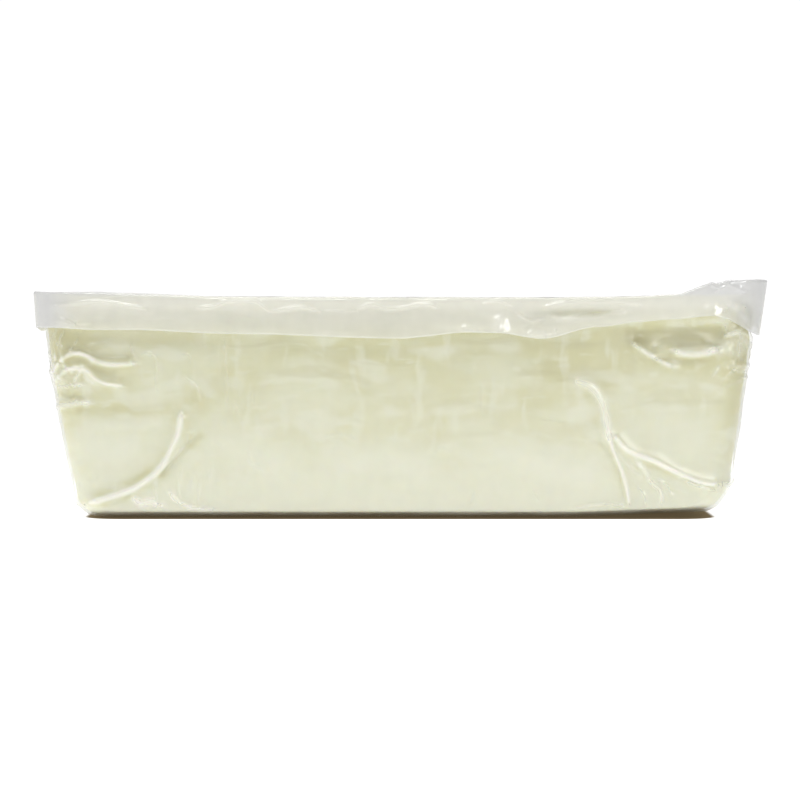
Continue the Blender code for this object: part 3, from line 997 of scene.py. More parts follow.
@dataclass(frozen=True)
class CornerCreases:
    """The short fine creases that fan out from the loaf's corners; lengths in millimetres."""

    form: LoafForm
    # The height that they fan out from, and how many there are.
    fans: tuple[tuple[float, int], ...] = ((10.0, 6), (72.0, 11))
    scatter: float = 8
    off_corner: float = 3
    steep_share: float = 0.35  # the share of them that stand steeper
    steep: float = 1.2  # radians
    slopes: float = 0.7
    lengths: tuple[float, float] = (4, 12)
    lifts: tuple[float, float] = (0.08, 0.26)
    half_widths: tuple[float, float] = (0.8, 1.3)
    hazes: tuple[float, float] = (0.1, 0.3)
    start_between: tuple[float, float] = (5, 86)
    end_between: tuple[float, float] = (4, 88)

    def _edge(self, wall: Wall, side: int, height: float) -> float:
        """Tells how far along a wall its upright edge is.

        Args:
            wall: The wall.
            side: Which of its two upright edges is meant, as a sign.
            height: The height, in millimetres.

        Returns:
            The distance from the wall's middle, in millimetres.
        """
        at = np.array([height * MM])
        if wall in (Wall.FRONT, Wall.BACK):
            return float(self.form.reach(at, np.array([side]))[0]) / MM
        return float(self.form.half_width(at)[0]) / MM

    def _crease(self, wall: Wall, side: int, level: float, draw: np.random.Generator) -> Fold:
        """Draws one crease near an upright edge.

        Args:
            wall: The wall that it is on.
            side: Which of the wall's two upright edges it is near, as a sign.
            level: The height that the creases fan out from.
            draw: Where the random draws come from.

        Returns:
            The crease.
        """
        height = float(np.clip(level + draw.normal(0, self.scatter), *self.start_between))
        edge = self._edge(wall, side, height)
        start = np.array([side * (edge - abs(draw.normal(self.off_corner, self.scatter))), height])
        slope = draw.normal(0.0, self.slopes)
        slope += self.steep if draw.random() < self.steep_share else 0.0
        length = draw.uniform(*self.lengths)
        way = np.array([-side * math.cos(slope), math.sin(slope)])
        bend = np.array([way[1], -way[0]]) * draw.normal(0, 1.0)
        end = start + way * length
        end[1] = np.clip(end[1], *self.end_between)
        points = (tuple(start), tuple((start + end) / 2 + bend), tuple(end))
        lift, half_width = draw.uniform(*self.lifts), draw.uniform(*self.half_widths)
        return Fold(points, lift, half_width, draw.uniform(*self.hazes), wall)

    def scattered(self, seed: int) -> list[Fold]:
        """Scatters the creases round all the corners, with a fixed seed.

        Args:
            seed: The seed of the scatter.

        Returns:
            The creases of all four walls.
        """
        draw = np.random.default_rng(seed)
        made = []
        for wall in (Wall.FRONT, Wall.BACK, Wall.LEFT, Wall.RIGHT):
            for side in (-1, 1):
                for level, count in self.fans:
                    made.extend(self._crease(wall, side, level, draw) for _ in range(count))
        return made


# ---------------------------------------------------------------- finishes


def fresh_material(name: str) -> tuple[bpy.types.Material, Bench, bpy.types.Node]:
    """Starts a material.

    Args:
        name: Its name.

    Returns:
        The material, a bench on its nodes and its output node.
    """
    material = bpy.data.materials.new(name)
    material.use_nodes = True
    bench = Bench(material.node_tree)
    return material, bench, bench.add("ShaderNodeOutputMaterial")


@dataclass(frozen=True)
class Marks:
    """One kind of soft mark in the cheese: a noise that shows above a level."""

    stretch: tuple[float, float]  # along the level axes, and upwards
    scale: float
    detail: float
    between: tuple[float, float]  # the noise's values where a mark starts and is full
    strength: float
    colour: Colour


@dataclass(frozen=True)
class CheeseFinish:
    """Cast mozzarella: cream, softly mottled and streaked, with the odd dark speck."""

    pale: Colour = (0.70, 0.70, 0.508, 1.0)
    deep: Colour = (0.645, 0.63, 0.392, 1.0)
    # A deeper, wetter-looking colour: random streaks, and painted shade where the tone is above 0.
    damp: Colour = (0.52, 0.495, 0.28, 1.0)
    # A drier, paler colour: random patches, and painted light where the tone is below 0.
    dry_and_lit: Colour = (0.765, 0.77, 0.625, 1.0)
    # Painted highlight: the whitest colour, where the tone falls below -1, mostly on fold crests.
    crest: Colour = (0.89, 0.875, 0.79, 1.0)
    speck: Colour = (0.16, 0.13, 0.09, 1.0)
    roughness: float = 0.45
    bend: float = 14 * MM  # how far the patches are pulled out of shape

    def _bent(self, bench: Bench, at: bpy.types.NodeSocket) -> bpy.types.NodeSocket:
        """Pulls the coordinates softly out of shape.

        Args:
            bench: The bench of the material.
            at: The object coordinates.

        Returns:
            The bent coordinates.
        """
        pull = bench.add("ShaderNodeTexNoise", {"Vector": at, "Scale": 26.0, "Detail": 2.0})
        inputs = {0: pull.outputs["Color"], 1: (0.5, 0.5, 0.5)}
        pull = bench.add("ShaderNodeVectorMath", inputs, operation="SUBTRACT").outputs[0]
        inputs = {0: at, 1: bench.scaled(pull, self.bend)}
        return bench.add("ShaderNodeVectorMath", inputs, operation="ADD").outputs[0]

    def _mottled(self, bench: Bench, bent: bpy.types.NodeSocket) -> bpy.types.NodeSocket:
        """Lays the cream ground with its patches, streaks, bands and dashes.

        Args:
            bench: The bench of the material.
            bent: The bent coordinates.

        Returns:
            The colour.
        """
        broad = bench.noise(bench.stretched(bent, 0.6, 1.2), 30.0, 2.0)
        fine = bench.noise(bench.stretched(bent, 0.6, 1.3), 95.0, 3.0)
        both = bench.math("ADD", bench.math("MULTIPLY", broad, 0.6), bench.math("MULTIPLY", fine, 0.4))
        colour = bench.mix_colour(bench.soft_step(both, 0.40, 0.60), self.deep, self.pale)
        for marks in (
            Marks((0.7, 1.4), 64.0, 1.0, (0.53, 0.66), 0.65, self.dry_and_lit),
            Marks((2.3, 0.6), 70.0, 2.0, (0.56, 0.70), 0.55, self.dry_and_lit),
            Marks((0.4, 2.4), 64.0, 2.0, (0.56, 0.72), 0.35, self.damp),
            Marks((1.0, 3.0), 105.0, 1.0, (0.58, 0.72), 0.45, self.dry_and_lit),
        ):
            noise = bench.noise(bench.stretched(bent, *marks.stretch), marks.scale, marks.detail)
            shown = bench.soft_step(noise, *marks.between, marks.strength)
            colour = bench.mix_colour(shown, colour, marks.colour)
        return colour

    def _toned(self, bench: Bench, colour: bpy.types.NodeSocket) -> bpy.types.NodeSocket:
        """Paints light where the skin's tone is below 0, first drier and then white, and paints shade above
        it with the deeper, wetter-looking colour; some of it is the real look of film that lies loose or
        pressed tight.

        Args:
            bench: The bench of the material.
            colour: The colour.

        Returns:
            The new colour.
        """
        tone = bench.add("ShaderNodeAttribute", attribute_name="tone").outputs["Fac"]
        dry_and_lit = bench.math("MULTIPLY", tone, -1.0, clamp=True)
        colour = bench.mix_colour(dry_and_lit, colour, self.dry_and_lit)
        crest = bench.math("SUBTRACT", bench.math("MULTIPLY", tone, -1.0), 1.0, clamp=True)
        colour = bench.mix_colour(crest, colour, self.crest)
        damp = bench.math("ADD", tone, 0.0, clamp=True)
        return bench.mix_colour(damp, colour, self.damp)

    def _specked(
        self, bench: Bench, at: bpy.types.NodeSocket, colour: bpy.types.NodeSocket
    ) -> bpy.types.NodeSocket:
        """Strews the odd dark speck.

        Args:
            bench: The bench of the material.
            at: The object coordinates.
            colour: The colour between the specks.

        Returns:
            The new colour.
        """
        cells = bench.add("ShaderNodeTexVoronoi", {"Vector": at, "Scale": 42.0})
        rare = bench.add("ShaderNodeSeparateColor", {0: cells.outputs["Color"]}).outputs[0]
        rare = bench.math("GREATER_THAN", rare, 0.93)
        near = bench.math("LESS_THAN", cells.outputs["Distance"], 0.014)
        return bench.mix_colour(bench.math("MULTIPLY", rare, near), colour, self.speck)

    def material(self) -> bpy.types.Material:
        """Makes the material.

        Returns:
            The cheese's material.
        """
        made, bench, output = fresh_material("mozzarella")
        at = bench.add("ShaderNodeTexCoord").outputs["Object"]
        colour = self._toned(bench, self._mottled(bench, self._bent(bench, at)))
        colour = self._specked(bench, at, colour)
        grain = bench.noise(at, 420.0, 3.0)
        bump = bench.add("ShaderNodeBump", {"Strength": 0.12, "Distance": 0.0004, "Height": grain})
        shader = bench.add(
            "ShaderNodeBsdfPrincipled",
            {
                "Base Color": colour,
                "Roughness": self.roughness,
                "Subsurface Weight": 0.35,
                "Subsurface Radius": (1.0, 0.75, 0.4),
                "Subsurface Scale": 0.004,
                "Normal": bump.outputs[0],
            },
        )
        bench.finish(shader.outputs[0], output)
        return made


@dataclass(frozen=True)
class FilmFinish:
    """Clear packing film: glossy where it is tight, milky where it is gathered or doubled."""

    name: str
    milk: Colour
    free: Colour  # its colour where no cheese lies behind it
    veil: float  # how milky it is everywhere
    streaks: float  # how much the milkiness varies
    translucency: float = 0.35
    roughness: float = 0.07
    mirror: float = 0.034  # how much it mirrors where it is seen squarely
    # Where the film leaves the cheese, along each axis, and over what distance.
    free_from: tuple[float, float, float] = (139 * MM, 38 * MM, 96.4 * MM)
    free_over: tuple[float, float, float] = (13 * MM, 9 * MM, 1.6 * MM)

    def _past_the_cheese(self, bench: Bench, at: bpy.types.NodeSocket) -> bpy.types.NodeSocket:
        """Masks the places where the film stands free of the cheese: high up, and at corners.

        Args:
            bench: The bench of the material.
            at: The object coordinates.

        Returns:
            The mask.
        """
        parts = bench.add("ShaderNodeSeparateXYZ", {0: at}).outputs
        past = []
        for axis, start, width in zip("XYZ", self.free_from, self.free_over):
            away = bench.math("ABSOLUTE", parts[axis])
            inputs = {"Value": away, "From Min": start, "From Max": start + width}
            past.append(bench.add("ShaderNodeMapRange", inputs).outputs[0])
        return bench.math("MAXIMUM", bench.math("MULTIPLY", past[0], past[1]), past[2])

    def _haze(self, bench: Bench, at: bpy.types.NodeSocket) -> bpy.types.NodeSocket:
        """Varies the skin's tone with soft clouds and upright streaks.

        Args:
            bench: The bench of the material.
            at: The object coordinates.

        Returns:
            How milky the film is, from 0 to 1.
        """
        long = bench.add("ShaderNodeMapping", {"Vector": at, "Scale": (0.55, 1.0, 1.25)}).outputs[0]
        tall = bench.add("ShaderNodeMapping", {"Vector": at, "Scale": (1.3, 1.0, 0.6)}).outputs[0]
        both = bench.math("ADD", bench.noise(long, 62.0, 3.0), bench.noise(tall, 60.0, 2.0))
        vary = bench.math("MULTIPLY", bench.math("SUBTRACT", both, 1.0), self.streaks)
        tone = bench.add("ShaderNodeAttribute", attribute_name="tone").outputs["Fac"]
        return bench.math("ADD", tone, bench.math("ADD", vary, self.veil), clamp=True)

    def _tight(self, bench: Bench, bump: bpy.types.NodeSocket) -> bpy.types.NodeSocket:
        """Lets the film be seen through, and mirrors more the flatter it is seen.

        Args:
            bench: The bench of the material.
            bump: The bumped normal.

        Returns:
            The shader.
        """
        clear = bench.add("ShaderNodeBsdfTransparent", {"Color": (0.99, 0.99, 0.985, 1.0)})
        gloss = bench.add("ShaderNodeBsdfGlossy", {"Roughness": self.roughness, "Normal": bump})
        facing = bench.add("ShaderNodeLayerWeight", {"Blend": 0.5, "Normal": bump}).outputs["Facing"]
        mirror = bench.math("MULTIPLY", bench.math("POWER", facing, 5.0), 1 - self.mirror)
        mirror = bench.math("ADD", mirror, self.mirror)
        inputs = {0: mirror, 1: clear.outputs[0], 2: gloss.outputs[0]}
        return bench.add("ShaderNodeMixShader", inputs).outputs[0]

    def _milky(
        self, bench: Bench, at: bpy.types.NodeSocket, bump: bpy.types.NodeSocket
    ) -> bpy.types.NodeSocket:
        """Makes the film white, with some light through it.

        Args:
            bench: The bench of the material.
            at: The object coordinates.
            bump: The bumped normal.

        Returns:
            The shader.
        """
        milk = bench.mix_colour(self._past_the_cheese(bench, at), self.milk, self.free)
        inputs = {"Base Color": milk, "Roughness": 0.16, "Normal": bump}
        cloudy = bench.add("ShaderNodeBsdfPrincipled", inputs)
        through = bench.add("ShaderNodeBsdfTranslucent", {"Color": milk})
        inputs = {0: self.translucency, 1: cloudy.outputs[0], 2: through.outputs[0]}
        return bench.add("ShaderNodeMixShader", inputs).outputs[0]

    def material(self) -> bpy.types.Material:
        """Makes the material.

        Returns:
            The film's material.
        """
        made, bench, output = fresh_material(self.name)
        at = bench.add("ShaderNodeTexCoord").outputs["Object"]
        fine = bench.noise(at, 240.0, 2.0)
        bump = bench.add("ShaderNodeBump", {"Strength": 0.10, "Distance": 0.0003, "Height": fine})
        tight = self._tight(bench, bump.outputs[0])
        milky = self._milky(bench, at, bump.outputs[0])
        whole = bench.add("ShaderNodeMixShader", {0: self._haze(bench, at), 1: tight, 2: milky})
        bench.finish(whole.outputs[0], output)
        return made


CLEAR_FILM = FilmFinish(
    name="clear film",
    milk=(0.93, 0.93, 0.86, 1.0),
    free=(0.90, 0.90, 0.86, 1.0),
    veil=0.03,
    streaks=0.2,
    roughness=0.26,
    mirror=0.021,
)
MILKY_FILM = FilmFinish(
    name="milky sealed film",
    milk=(0.94, 0.935, 0.87, 1.0),
    free=(0.83, 0.83, 0.83, 1.0),
    veil=0.0,
    streaks=0.2,
)


# ---------------------------------------------------------------- the pieces


@dataclass(frozen=True)
class Press:
    """How a family of folds shows in a skin, as shares of the folds' own values."""

    family: str
    lift: float = 1.0
    spread: float = 1.0
    sharpness: float = 2.0  # the power in a fold's profile
    milkiness: float = 1.0
    crest: float = 0.8  # how wide the milky line along a fold is


@dataclass(frozen=True)
class Swell:
    """A soft rise and fall of a skin."""

    size: float
    depth: float
    seed: float


@dataclass(frozen=True)
class Dressing:
    """The relief of a skin: where its grid is made finer, and what is then laid on it.

    A row of finer holds a family of folds and, for each halving of the grid,
    how near to a fold it is made.
    """

    finer: tuple[tuple[str, tuple[float, ...]], ...]
    presses: tuple[Press, ...]
    swells: tuple[Swell, ...]


LOAF_SWELLS = (Swell(26 * MM, 0.9 * MM, 3.0), Swell(9 * MM, 0.3 * MM, 8.0))
# On the cheese, the wide main and minor presses paint shade beside the pleats, the narrow ones paint
# highlights along their crests, and the shade folds paint shade in hollows and beside ridges.
CHEESE_DRESSING = Dressing(
    finer=(
        ("main", (3.4 * MM, 2.0 * MM)),
        ("minor", (2.6 * MM, 1.5 * MM)),
        ("grooves", (2.4 * MM,)),
    ),
    presses=(
        Press("hollows", lift=0.85, milkiness=0.0),
        Press("grooves", lift=0.85, milkiness=0.0),
        Press("main", lift=0.45, spread=2.8, milkiness=0.55, crest=1.0),
        Press("minor", lift=0.0, spread=2.6, milkiness=0.45, crest=1.0),
        Press("main", lift=0.6, spread=0.75, sharpness=1.3, milkiness=-3.2, crest=1.1),
        Press("minor", spread=0.9, sharpness=1.4, milkiness=-4.0, crest=1.1),
        Press("face", spread=0.8, sharpness=1.4, milkiness=-2.4, crest=1.1),
        Press("creases", sharpness=1.8, milkiness=-3.0, crest=1.0),
        Press("damp", crest=1.0),
        Press("panels", lift=0.0, crest=1.0, milkiness=-1.0),
    ),
    swells=LOAF_SWELLS,
)
FILM_DRESSING = Dressing(
    finer=(
        ("main", (3.4 * MM, 2.0 * MM)),
        ("minor", (2.6 * MM, 1.5 * MM)),
        ("face", (2.4 * MM, 1.3 * MM)),
        ("creases", (2.0 * MM,)),
    ),
    presses=(
        Press("hollows", lift=0.85),
        Press("grooves", lift=0.85),
        Press("panels", crest=1.0, milkiness=0.12),
        Press("main", lift=0.45, spread=2.8, milkiness=0.0),
        Press("main", lift=0.6, spread=0.75, sharpness=1.3, milkiness=0.8, crest=0.95),
        Press("minor", spread=0.9, sharpness=1.4, milkiness=0.8, crest=0.95),
        Press("face", spread=0.8, sharpness=1.4, milkiness=0.6, crest=0.9),
        Press("creases", sharpness=1.8, milkiness=0.6, crest=0.9),
    ),
    swells=LOAF_SWELLS,
)
SKIRT_DRESSING = Dressing(
    finer=(("skirt", (2.0 * MM, 1.2 * MM)),),
    presses=(Press("skirt", spread=0.8, sharpness=1.5),),
    swells=(Swell(18 * MM, 0.9 * MM, 11.0), Swell(5 * MM, 0.3 * MM, 12.0)),
)


@dataclass
class Relief:
    """The guides and trees that every skin of the pack shares."""

    form: LoafForm
    place_on_skirt: Callable[[Points], Points]
    pleats: PleatTree = field(default_factory=PleatTree)
    slack: SlackTree = field(default_factory=SlackTree)
    guides: dict[str, bpy.types.Object] = field(default_factory=dict)
    grid: float = 1.6 * MM
    main_from: float = 0.95  # the height of the lowest main pleat, in millimetres
    usual_edge: float = 1.2  # the length of a usual edge, as a share of the grid's spacing
    halved: tuple[float, float] = (0.5, 2.2)  # the edges that are halved, as shares of a usual one

    def _place(self, wall: Wall, line: Points) -> Points:
        """Lays a fold's line where it belongs.

        Args:
            wall: One of the four walls, or the skirt.
            line: Places along it and up it, one row each.

        Returns:
            The line's places on the pack.
        """
        if wall is Wall.SKIRT:
            return self.place_on_skirt(line)
        return self.form.on_wall(wall, line)

    def draw_guides(self) -> None:
        """Builds the guides."""
        spread = Spread(self.form)
        pleats = spread.all_round((*LOWER_LEFT, *UPPER_LEFT, *LOWER_RIGHT, *UPPER_RIGHT), 4)
        families = {
            "main": [fold for fold in pleats if fold.lift >= self.main_from],
            "minor": [fold for fold in pleats if fold.lift < self.main_from],
            "face": spread.all_round(OPEN_FACE, 9),
            "grooves": spread.all_round(GROOVES, 5),
            "hollows": spread.all_round(HOLLOWS, 6),
            "panels": spread.all_round(PANELS, 7),
            "damp": spread.all_round(DAMP_AND_SHADE, 8),
            "creases": CornerCreases(self.form).scattered(21),
            "skirt": SKIRT_FOLDS,
        }
        for name, folds in families.items():
            self.guides[name] = Guide(f"guide_{name}", folds, self._place).build()

    def _refine(self, piece: bpy.types.Object, family: str, reaches: Sequence[float]) -> None:
        """Makes a piece's grid finer near a family of folds.

        Args:
            piece: The piece.
            family: The family.
            reaches: For each halving of the grid, how near to a fold it is made.
        """
        wire = self.guides[family].data.vertices
        tree = kdtree.KDTree(len(wire))
        for vertex in wire:
            tree.insert(vertex.co, vertex.index)
        tree.balance()
        mesh = bmesh.new()
        mesh.from_mesh(piece.data)
        for halving, reach in enumerate(reaches):
            near = {vertex for vertex in mesh.verts if tree.find(vertex.co)[2] < reach}
            edges = [edge for edge in mesh.edges if near.issuperset(edge.verts)]
            usual = self.usual_edge * self.grid / 2**halving
            shortest, longest = (share * usual for share in self.halved)
            edges = [edge for edge in edges if shortest < edge.calc_length() < longest]
            bmesh.ops.subdivide_edges(mesh, edges=edges, cuts=1, use_grid_fill=True)
        mesh.to_mesh(piece.data)
        mesh.free()
        piece.data.shade_smooth()

    def dress(self, piece: bpy.types.Object, dressing: Dressing, material: bpy.types.Material) -> None:
        """Makes a piece's grid finer, and lays its folds and its slack on it.

        Args:
            piece: The piece.
            dressing: What it gets.
            material: Its material, which the trees set again.
        """
        for family, reaches in dressing.finer:
            self._refine(piece, family, reaches)
        for press in dressing.presses:
            self.pleats.put_on(
                piece,
                guide=self.guides[press.family],
                lift=press.lift,
                spread=press.spread,
                sharpness=press.sharpness,
                milkiness=press.milkiness,
                crest=press.crest,
                material=material,
            )
        for swell in dressing.swells:
            self.slack.put_on(piece, size=swell.size, depth=swell.depth, seed=swell.seed, material=material)

    def clear_guides(self) -> None:
        """Removes the guides."""
        for wire in self.guides.values():
            bpy.data.objects.remove(wire)
        self.guides.clear()


@dataclass
class LoafSkin:
    """A closed skin over the loaf's form, at some distance from it."""

    form: LoafForm
    relief: Relief
    name: str
    inset: float
    dressing: Dressing
    close: float = 1.6 * MM
    wide: float = 2.0 * MM
    level: float = 1.6 * MM
    close_from: float = 80 * MM
    edge_rings: int = 6  # rings in the rounding of the top, and as many in the base's
    low_reach: float = 80 * MM  # how far up the loaf its lower part reaches
    low_fall: float = 1.3

    def build(self) -> bpy.types.Object:
        """Builds the bare skin.

        Returns:
            The skin, not yet dressed.
        """
        half = self.form.half
        rim = Rim(half[0], half[1], self.close, self.wide, self.close_from)
        spots = rim.spots()
        radius = self.form.corner_radius
        shares = np.linspace(1, 0, self.edge_rings + 1)[:-1]
        levels = np.linspace(half[2], -half[2], round(self.form.height / self.level) + 1)
        rings = [(share * radius, half[2]) for share in shares]
        rings += [(0.0, level) for level in levels]
        rings += [(share * radius, -half[2]) for share in shares[::-1]]
        layers = []
        for drawn_in, level in rings:
            scale = (half[:2] - drawn_in) / half[:2]
            layers.append(np.column_stack([spots * scale, np.full(len(spots), level)]))
        points = self.form.lay(np.vstack(layers))
        middle = np.array([0.0, 0.0, self.form.height / 2])
        points = middle + (points - middle) * (1 - self.inset / half)
        faces = rim.sleeve(len(rings)) + rim.ladder(0, True)
        faces += rim.ladder((len(rings) - 1) * len(spots), False)
        return Skin(self.name, points, faces, self.tone(points)).build()

    def off_corner(self, points: Points) -> Points:
        """Measures how far each point is from the nearest upright corner.

        Args:
            points: The points.

        Returns:
            The distances.
        """
        x, y, height = points.T
        end = self.form.reach(height, x) - np.abs(x)
        side = self.form.half_width(height) - np.abs(y)
        return np.hypot(np.maximum(end, 0), np.maximum(side, 0))

    def lowness(self, height: Points) -> Points:
        """Gives 1 at the base, falling to 0 where the lower part ends."""
        return np.clip(1 - height / self.low_reach, 0, 1) ** self.low_fall

    def tone(self, points: Points) -> Points:
        """Gives the bare skin's tone at these points."""
        raise NotImplementedError

    def make(self, finish: CheeseFinish | FilmFinish) -> bpy.types.Object:
        """Builds and dresses the skin.

        Args:
            finish: The skin's finish.

        Returns:
            The finished piece.
        """
        piece = self.build()
        material = finish.material()
        piece.data.materials.append(material)
        self.relief.dress(piece, self.dressing, material)
        settle(piece)
        return piece


@dataclass
class Cheese(LoafSkin):
    """The loaf of mozzarella inside the film."""

    name: str = "mozzarella_loaf"
    inset: float = 1.1 * MM
    dressing: Dressing = CHEESE_DRESSING
    # Painted light low down and on the top rim behind the skirt, and painted shade at the upright corners.
    low_painted_light: float = 1.2
    top_painted_light: float = 1.55
    top_from: float = 82 * MM
    top_over: float = 5 * MM
    corner_painted_shade: float = 0.6
    corner_width: float = 8 * MM

    def tone(self, points: Points) -> Points:
        """Paints light on the loaf towards its base and on its top rim behind the skirt, and paints shade
        at its upright corners.

        Args:
            points: The skin's points.

        Returns:
            The tone at each: painted shade above 0, painted light below it.
        """
        height = points[:, 2]
        corner = self.corner_painted_shade * np.exp(-((self.off_corner(points) / self.corner_width) ** 2))
        low = self.low_painted_light * self.lowness(height)
        return corner - low - self.top_painted_light * smooth((height - self.top_from) / self.top_over)


@dataclass
class ClingFilm(LoafSkin):
    """The formed film that clings to the loaf's walls and base."""

    name: str = "clinging_film"
    inset: float = 0.0
    dressing: Dressing = FILM_DRESSING
    low_haze: float = 0.06
    edge_haze: float = 0.05
    edge_width: float = 5.0 * MM
    edge_least: float = 0.5  # the share of an edge's haze that is left low down
    edge_full_from: float = 35 * MM
    edge_full_over: float = 40 * MM

    def tone(self, points: Points) -> Points:
        """Makes the film milky where it bridges the upright corners, and lower down.

        Args:
            points: The skin's points.

        Returns:
            How milky the film is at each.
        """
        height = points[:, 2]
        upper = smooth((height - self.edge_full_from) / self.edge_full_over)
        upper = self.edge_least + (1 - self.edge_least) * upper
        corner = self.edge_haze * np.exp(-((self.off_corner(points) / self.edge_width) ** 2)) * upper
        return corner + self.low_haze * self.lowness(height)


@dataclass
class SkirtForm:
    """Where the skirt stands out from the loaf's top, all the way round.

    A row gives a turn, then how far its crest and its hem stand out from the
    loaf's top outline and how high they are, in millimetres. Turn 0 to 1 runs
    along the front to the right, 1 to 2 up the right end, 2 to 3 along the back
    and 3 to 4 down the left end.
    """

    form: LoafForm
    lid_inset: float = 6 * MM
    lid_top: float = 95.8 * MM
    fold_radius: float = 1.3 * MM
    # The shares of the section between which it rounds the crest.
    crest_from: float = 0.25
    crest_to: float = 0.40
    on_side: float = 0.99999  # how far out a point of a rim of half size 1 lies on its side
    rows: tuple[tuple[float, ...], ...] = (
        (0.000, 3.4, 99.1, 2.4, 83.2),
        (0.060, 1.8, 98.9, 1.8, 82.2),
        (0.114, 1.4, 98.3, 2.2, 82.2),
        (0.262, 1.4, 96.5, 2.4, 80.5),
        (0.500, 1.4, 96.3, 2.4, 78.5),
        (0.603, 1.6, 96.2, 3.2, 81.1),
        (0.643, 1.6, 96.2, 3.4, 80.9),
        (0.707, 1.6, 96.2, 2.6, 78.4),
        (0.790, 1.6, 96.5, 3.6, 83.6),
        (0.850, 1.6, 97.0, 3.2, 85.8),
        (0.900, 1.8, 97.8, 2.8, 86.9),
        (0.955, 2.2, 102.7, 2.2, 88.3),
        (0.976, 3.0, 103.9, 1.6, 87.0),
        (1.000, 5.2, 104.3, 1.9, 81.0),
        (1.030, 5.6, 104.2, 1.8, 79.8),
        (1.110, 5.4, 103.2, 2.4, 81.0),
        (1.300, 3.4, 100.6, 3.0, 83.6),
        (1.550, 2.4, 97.8, 2.4, 82.0),
        (1.800, 2.2, 97.4, 2.0, 81.2),
        (2.000, 2.4, 97.2, 1.2, 80.4),
        (2.050, 1.8, 96.8, 2.2, 81.8),
        (2.250, 1.5, 96.0, 3.0, 81.0),
        (2.550, 1.4, 96.0, 2.6, 78.8),
        (2.850, 1.4, 96.8, 2.6, 81.4),
        (3.000, 3.4, 98.2, 2.4, 82.8),
        (3.200, 3.6, 98.2, 3.0, 82.4),
        (3.600, 3.6, 97.6, 3.2, 81.2),
        (4.000, 3.4, 99.1, 2.4, 83.2),
    )

    @property
    def middle_x(self) -> float:
        """Where the middle of the loaf's top is, along X."""
        return (self.form.top_reach_right - self.form.top_reach_left) / 2

    @property
    def half(self) -> Points:
        """Half the length and width of the loaf's top."""
        length = (self.form.top_reach_right + self.form.top_reach_left) / 2
        return np.array([length, self.form.top_half_width])

    def turns(self, spots: Points) -> Points:
        """Gives the turn of each point of a rim of half size 1.

        Args:
            spots: The rim's points.

        Returns:
            The turn of each.
        """
        x, y = spots[:, 0], spots[:, 1]
        sides = [y < -self.on_side, x > self.on_side, y > self.on_side]
        turns = [(x + 1) / 2, 1 + (y + 1) / 2, 2 + (1 - x) / 2]
        return np.select(sides, turns, 3 + (1 - y) / 2)

    def edges(self, turns: Points) -> tuple[Points, Points]:
        """Gives the crest and the hem at these turns, as (out, height) rows.

        Args:
            turns: The turns.

        Returns:
            The rows of the crest and those of the hem.
        """
        table = np.array(self.rows)
        at = np.clip(np.searchsorted(table[:, 0], turns, side="right") - 1, 0, len(table) - 2)
        share = smooth((turns - table[at, 0]) / (table[at + 1, 0] - table[at, 0]))[:, None]
        row = (table[at] + (table[at + 1] - table[at]) * share)[:, 1:] * MM
        return row[:, :2], row[:, 2:]

    def section(self, turns: Points, share: float) -> Points:
        """Gives a place on the skirt's section at these turns.

        Args:
            turns: The turns.
            share: How far along the section it is, from 0 at the lid to 1 at the hem.

        Returns:
            (out, height) rows.
        """
        crest, hem = self.edges(turns)
        lid = np.array([-self.lid_inset, self.lid_top])
        rise = crest - lid
        drop = hem - crest
        rise_way = rise / np.linalg.norm(rise, axis=1, keepdims=True)
        drop_way = drop / np.linalg.norm(drop, axis=1, keepdims=True)
        before = crest - rise_way * self.fold_radius
        after = crest + drop_way * self.fold_radius
        if share < self.crest_from:
            return lid + (before - lid) * share / self.crest_from
        if share < self.crest_to:
            t = (share - self.crest_from) / (self.crest_to - self.crest_from)
            return (1 - t) ** 2 * before + 2 * t * (1 - t) * crest + t**2 * after
        return after + (hem - after) * (share - self.crest_to) / (1 - self.crest_to)

    def outline(self, spots: Points) -> tuple[Points, Points]:
        """Lays a rim of half size 1 on the loaf's top outline.

        Args:
            spots: The rim's points.

        Returns:
            Their places and the way out of the outline at each.
        """
        half = self.half - self.lid_inset
        radius = self.form.corner_radius - self.lid_inset
        box = spots * half
        core = np.clip(box, radius - half, half - radius)
        past = box - core
        way = past / np.maximum(np.linalg.norm(past, axis=1, keepdims=True), 1e-9)
        return core + way * self.form.corner_radius + (self.middle_x, 0.0), way

    def on_front(self, line: Points) -> Points:
        """Lays a line on the front of the skirt.

        Args:
            line: Places along the skirt and up it, one row each.

        Returns:
            The line's places.
        """
        along, height = line[:, 0], line[:, 1]
        turns = np.clip((along - self.middle_x) / self.half[0] / 2 + 0.5, 0, 1)
        crest, hem = self.edges(turns)
        share = (crest[:, 1] - height) / (crest[:, 1] - hem[:, 1])
        out = crest[:, 0] + (hem[:, 0] - crest[:, 0]) * np.clip(share, 0, 1)
        return np.stack([along, -self.half[1] - out, height], axis=1)


